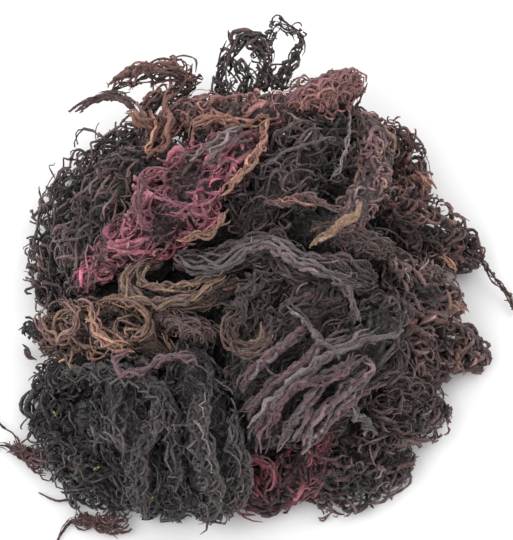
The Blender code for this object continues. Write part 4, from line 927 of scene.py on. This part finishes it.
def dress_limb(gathered, frond, limb, layer, settings, box, rng):
    """Adds one layer's strands along one limb, wound into ropes where the layer says so, and their
    spurs. Strands buried in other fronds are left out."""
    count = max(LEAST_STRANDS, round(limb.skin() * layer.share * frond.fullness * settings.fullness))
    lanes = lane_paths(limb, layer, count, settings.looseness, rng)
    shown = ~buried(lanes[0], frond)
    if not shown.any():
        return
    paths, out, slim = (each[shown] for each in lanes)
    if layer.bundle > 1:
        paths = bundled(paths, layer.bundle, rng)
        out, slim = (np.repeat(each, layer.bundle, axis=0) for each in (out, slim))
    radius = girths(paths, layer.girth, layer.rough, layer.sides, rng)
    radius = radius * slim[..., None] * settings.strand_girth
    paths = kept_in(paths, radius, box)
    light = layer.light * frond.light
    # out carries the painted shade by depth and the painted light on the humps into the strands' colours.
    gathered.add(paths, radius, frond.tints, light, out ** DEPTH_PAINTED_SHADE, rng)
    if layer.girth[0] > SPUR_GIRTH[0]:
        twigs, thin = spurs(paths, radius, SPURS_EACH[frond.style], rng)
        twigs = kept_in(twigs, thin, box)
        gathered.add(twigs, thin, frond.tints, light * SPUR_LIGHT, SPUR_SHADE, rng)


def dress_lock(gathered, lock, box, rng):
    """Adds the strands of a lock and their spurs. Each keeps its own place in the lock's round,
    turned slowly along it, plus small waves, and a circle that turns once for each pitch."""
    limb = Limb(seen(*lock.stations))
    count = lock.strands
    rings = int(np.clip(limb.total / min(LOCK_STEP, lock.pitch[0] / LOOP_RINGS), *LOCK_RINGS))
    t = np.linspace(0, 1, rings)
    start = between(rng, (0, FRAYED), count)
    stop = between(rng, (1 - FRAYED, 1), count)
    run = limb.total * (start + (stop - start) * t)
    centre, _, along, top, side = limb.at(run)
    angle = between(rng, (-math.pi, math.pi), count) + between(rng, LOCK_TURN, count) * t
    out = np.sqrt(between(rng, LOCK_FILL, count)) * limb.read(limb.curve, run)[..., 3]
    out = out * (1 + lock.flare * (2 * t - 1) ** 4)
    points = centre + out[..., None] * turned(angle, top, side)
    points = points + waves(rng, count, run, LOCK_WAVE) * LOCK_STRAY
    loop_angle = TURN * (run / between(rng, lock.pitch, count) + between(rng, (0, 1), count))
    points = points + between(rng, lock.curl, count)[..., None] * turned(loop_angle, along, side)
    radius = girths(points, lock.girth, LOCK_ROUGH, LOCK_SIDES, rng)
    points = kept_in(points, radius, box)
    gathered.add(points, radius, lock.tints, LOCK_LIGHT, 1.0, rng)
    twigs, thin = spurs(points, radius, lock.spurs, rng)
    gathered.add(kept_in(twigs, thin, box), thin, lock.tints, LOCK_LIGHT * SPUR_LIGHT, 1.0, rng)


def dress_frond(frond, settings):
    """Makes the piece that stands for one frond: its dark cores of painted shade, every layer of strands,
    its locks.
    """
    rng = np.random.default_rng([settings.seed, *frond.name.encode()])
    low, high = (np.array(corner) / METRES for corner in CAD_BOX)
    box = np.where([True, True, False], low - STANDS_PROUD, 0), high + STANDS_PROUD
    gathered = Mesh()
    for stations in frond.limbs:
        limb = Limb(stations)
        path, girth = core_path(limb, CORE_SHARE[frond.style] * frond.inside, rng)
        # The core is painted shade: the frond's own tints, darkened.
        gathered.add(kept_in(path, girth, box), girth, frond.tints, CORE_PAINTED_SHADE, 1.0, rng)
        for layer in DRESS[frond.style]:
            dress_limb(gathered, frond, limb, layer, settings, box, rng)
    for lock in LOCKS.get(frond.name, ()):
        dress_lock(gathered, lock, box, rng)
    look = dry_weed(frond.name, tuple(settings.dust_colour), settings.dust_share)
    piece = gathered.piece(frond.name.replace("_frond", "_strands").replace("_sprig", "_twigs"), look)
    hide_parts(frond.name)
    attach(piece, "root")


class SeaMossSettings(PropertyGroup):
    """What a user of the heap may change."""

    strand_girth: FloatProperty(
        name="Strand Girth", description="Thickness of every strand beside a real one",
        default=1.0, min=0.3, max=3.0)
    fullness: FloatProperty(
        name="Fullness", description="Number of strands beside a real heap",
        default=1.0, min=0.1, max=1.5)
    looseness: FloatProperty(
        name="Looseness", description="How far strands stray and curl",
        default=1.0, min=0.0, max=2.0)
    seed: IntProperty(name="Seed", description="Another number tangles the heap another way", default=7)
    dust_colour: FloatVectorProperty(
        name="Dust", description="Colour of the pale dust on the weed", subtype="COLOR",
        default=(0.33, 0.28, 0.28), min=0, max=1)
    dust_share: FloatProperty(
        name="Dust Share", description="How much of the weed's colour the dust hides",
        default=0.28, min=0.0, max=1.0, subtype="FACTOR")
    floor_colour: FloatVectorProperty(
        name="Floor", description="Colour of the table", subtype="COLOR",
        default=(0.97, 0.97, 0.97), min=0, max=1)
    light_power: FloatProperty(
        name="Light Power", description="Power of the two soft lamps", default=5.0, min=0, unit="POWER")


class MakeFronds:
    """Makes one piece for every frond of a kind."""

    bl_options = {"REGISTER", "UNDO"}
    kind = ""

    def execute(self, context):
        for frond in FRONDS:
            if self.kind == ("inner" if frond.name in INNER else frond.style):
                dress_frond(frond, context.scene.sea_moss)
        return {"FINISHED"}


class SEAMOSS_OT_wiry(MakeFronds, Operator):
    """Makes the fronds of thin, curly strands: crest, horn, heart, rims"""

    bl_idname, bl_label, kind = "seamoss.wiry", "Wiry Fronds", "wiry"


class SEAMOSS_OT_knotty(MakeFronds, Operator):
    """Makes the fronds of dense knots: rose, coral, ochre, crimson and the right side"""

    bl_idname, bl_label, kind = "seamoss.knotty", "Knotty Fronds", "knotty"


class SEAMOSS_OT_matted(MakeFronds, Operator):
    """Makes the dark fronds of crinkled, woolly strands: soot and ash"""

    bl_idname, bl_label, kind = "seamoss.matted", "Matted Fronds", "matted"


class SEAMOSS_OT_rope(MakeFronds, Operator):
    """Makes the fronds of thick ropes of strands: violet and plum"""

    bl_idname, bl_label, kind = "seamoss.rope", "Roped Fronds", "rope"


class SEAMOSS_OT_combed(MakeFronds, Operator):
    """Makes the fronds whose strands lie side by side: slate and golden"""

    bl_idname, bl_label, kind = "seamoss.combed", "Combed Fronds", "combed"


class SEAMOSS_OT_twiggy(MakeFronds, Operator):
    """Makes the two thin sprigs that lie on the table"""

    bl_idname, bl_label, kind = "seamoss.twiggy", "Sprigs", "twiggy"


class SEAMOSS_OT_inner(MakeFronds, Operator):
    """Makes the fronds inside, under and behind the heap"""

    bl_idname, bl_label, kind = "seamoss.inner", "Inner Fronds", "inner"


def plain_floor(colour):
    """A flat, pale, square sheet of table."""
    corners = [(across * TABLE_HALF, back * TABLE_HALF, 0)
               for across, back in ((-1, -1), (1, -1), (1, 1), (-1, 1))]
    mesh = bpy.data.meshes.new("table_top")
    mesh.from_pydata(corners, [], [(0, 1, 2, 3)])
    floor = bpy.data.objects.new("table_top", mesh)
    material = bpy.data.materials.new("table_white")
    material.use_nodes = True
    shader = material.node_tree.nodes["Principled BSDF"]
    shader.inputs["Base Color"].default_value = (*colour, 1)
    shader.inputs["Roughness"].default_value = 0.8
    shader.inputs["Specular IOR Level"].default_value = 0.1
    mesh.materials.append(material)
    bpy.context.scene.collection.objects.link(floor)


def soft_lamp(name, place, power):
    """A square lamp that faces the middle of the table."""
    lamp = bpy.data.lights.new(name, "AREA")
    lamp.size, lamp.energy = LAMP_SIZE, power
    made = bpy.data.objects.new(name, lamp)
    made.location = place
    made.rotation_mode = "QUATERNION"
    made.rotation_quaternion = (Vector((0, 0, 0)) - Vector(place)).to_track_quat("-Z", "Y")
    bpy.context.scene.collection.objects.link(made)


class SEAMOSS_OT_stage(Operator):
    """Makes the table, the lamps, the pale surroundings and the camera"""

    bl_idname = "seamoss.stage"
    bl_label = "Table, Lamps and Camera"
    bl_options = {"REGISTER", "UNDO"}

    def execute(self, context):
        settings = context.scene.sea_moss
        plain_floor(tuple(settings.floor_colour))
        for name, place, share in LAMPS:
            soft_lamp(name, place, settings.light_power * share)
        world = bpy.data.worlds.new("pale_room")
        world.use_nodes = True
        background = world.node_tree.nodes["Background"]
        background.inputs["Color"].default_value = (1, 1, 1, 1)
        background.inputs["Strength"].default_value = ROOM_LIGHT
        context.scene.world = world
        context.scene.view_settings.view_transform = "Standard"
        lens = bpy.data.cameras.new("camera")
        lens.lens, lens.sensor_width = LENS, FILM_WIDTH
        lens.clip_start, lens.clip_end = CAMERA_NEAR, CAMERA_FAR
        camera = bpy.data.objects.new("camera", lens)
        target = Vector((HEAP_SHIFT[0], HEAP_BACK + HEAP_SHIFT[1], 0)) * METRES
        back = Vector(TOWARDS_EYE)
        camera.location = target + back * CAMERA_AWAY
        camera.rotation_mode = "QUATERNION"
        camera.rotation_quaternion = (-back).to_track_quat("-Z", "Y")
        context.scene.collection.objects.link(camera)
        context.scene.camera = camera
        return {"FINISHED"}


STEPS = (SEAMOSS_OT_wiry, SEAMOSS_OT_knotty, SEAMOSS_OT_matted, SEAMOSS_OT_rope, SEAMOSS_OT_combed,
         SEAMOSS_OT_twiggy, SEAMOSS_OT_inner, SEAMOSS_OT_stage)


class SEAMOSS_PT_panel(Panel):
    """The heap's settings, and a button for each of its steps"""

    bl_idname = "SEAMOSS_PT_panel"
    bl_label = "Sea Moss"
    bl_space_type = "VIEW_3D"
    bl_region_type = "UI"
    bl_category = "Sea Moss"

    def draw(self, context):
        settings = context.scene.sea_moss
        for name in SeaMossSettings.__annotations__:
            self.layout.prop(settings, name)
        for step in STEPS:
            self.layout.operator(step.bl_idname)


CLASSES = (SeaMossSettings, *STEPS, SEAMOSS_PT_panel)


def register():
    for cls in CLASSES:
        bpy.utils.register_class(cls)
    bpy.types.Scene.sea_moss = PointerProperty(type=SeaMossSettings)


def unregister():
    del bpy.types.Scene.sea_moss
    for cls in reversed(CLASSES):
        bpy.utils.unregister_class(cls)


def dress_heap():
    """Registers the add-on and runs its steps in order."""
    register()
    bpy.ops.seamoss.wiry()
    bpy.ops.seamoss.knotty()
    bpy.ops.seamoss.matted()
    bpy.ops.seamoss.rope()
    bpy.ops.seamoss.combed()
    bpy.ops.seamoss.twiggy()
    bpy.ops.seamoss.inner()
    bpy.ops.seamoss.stage()
    bpy.context.view_layer.update()


if __name__ == "__main__":
    dress_heap()
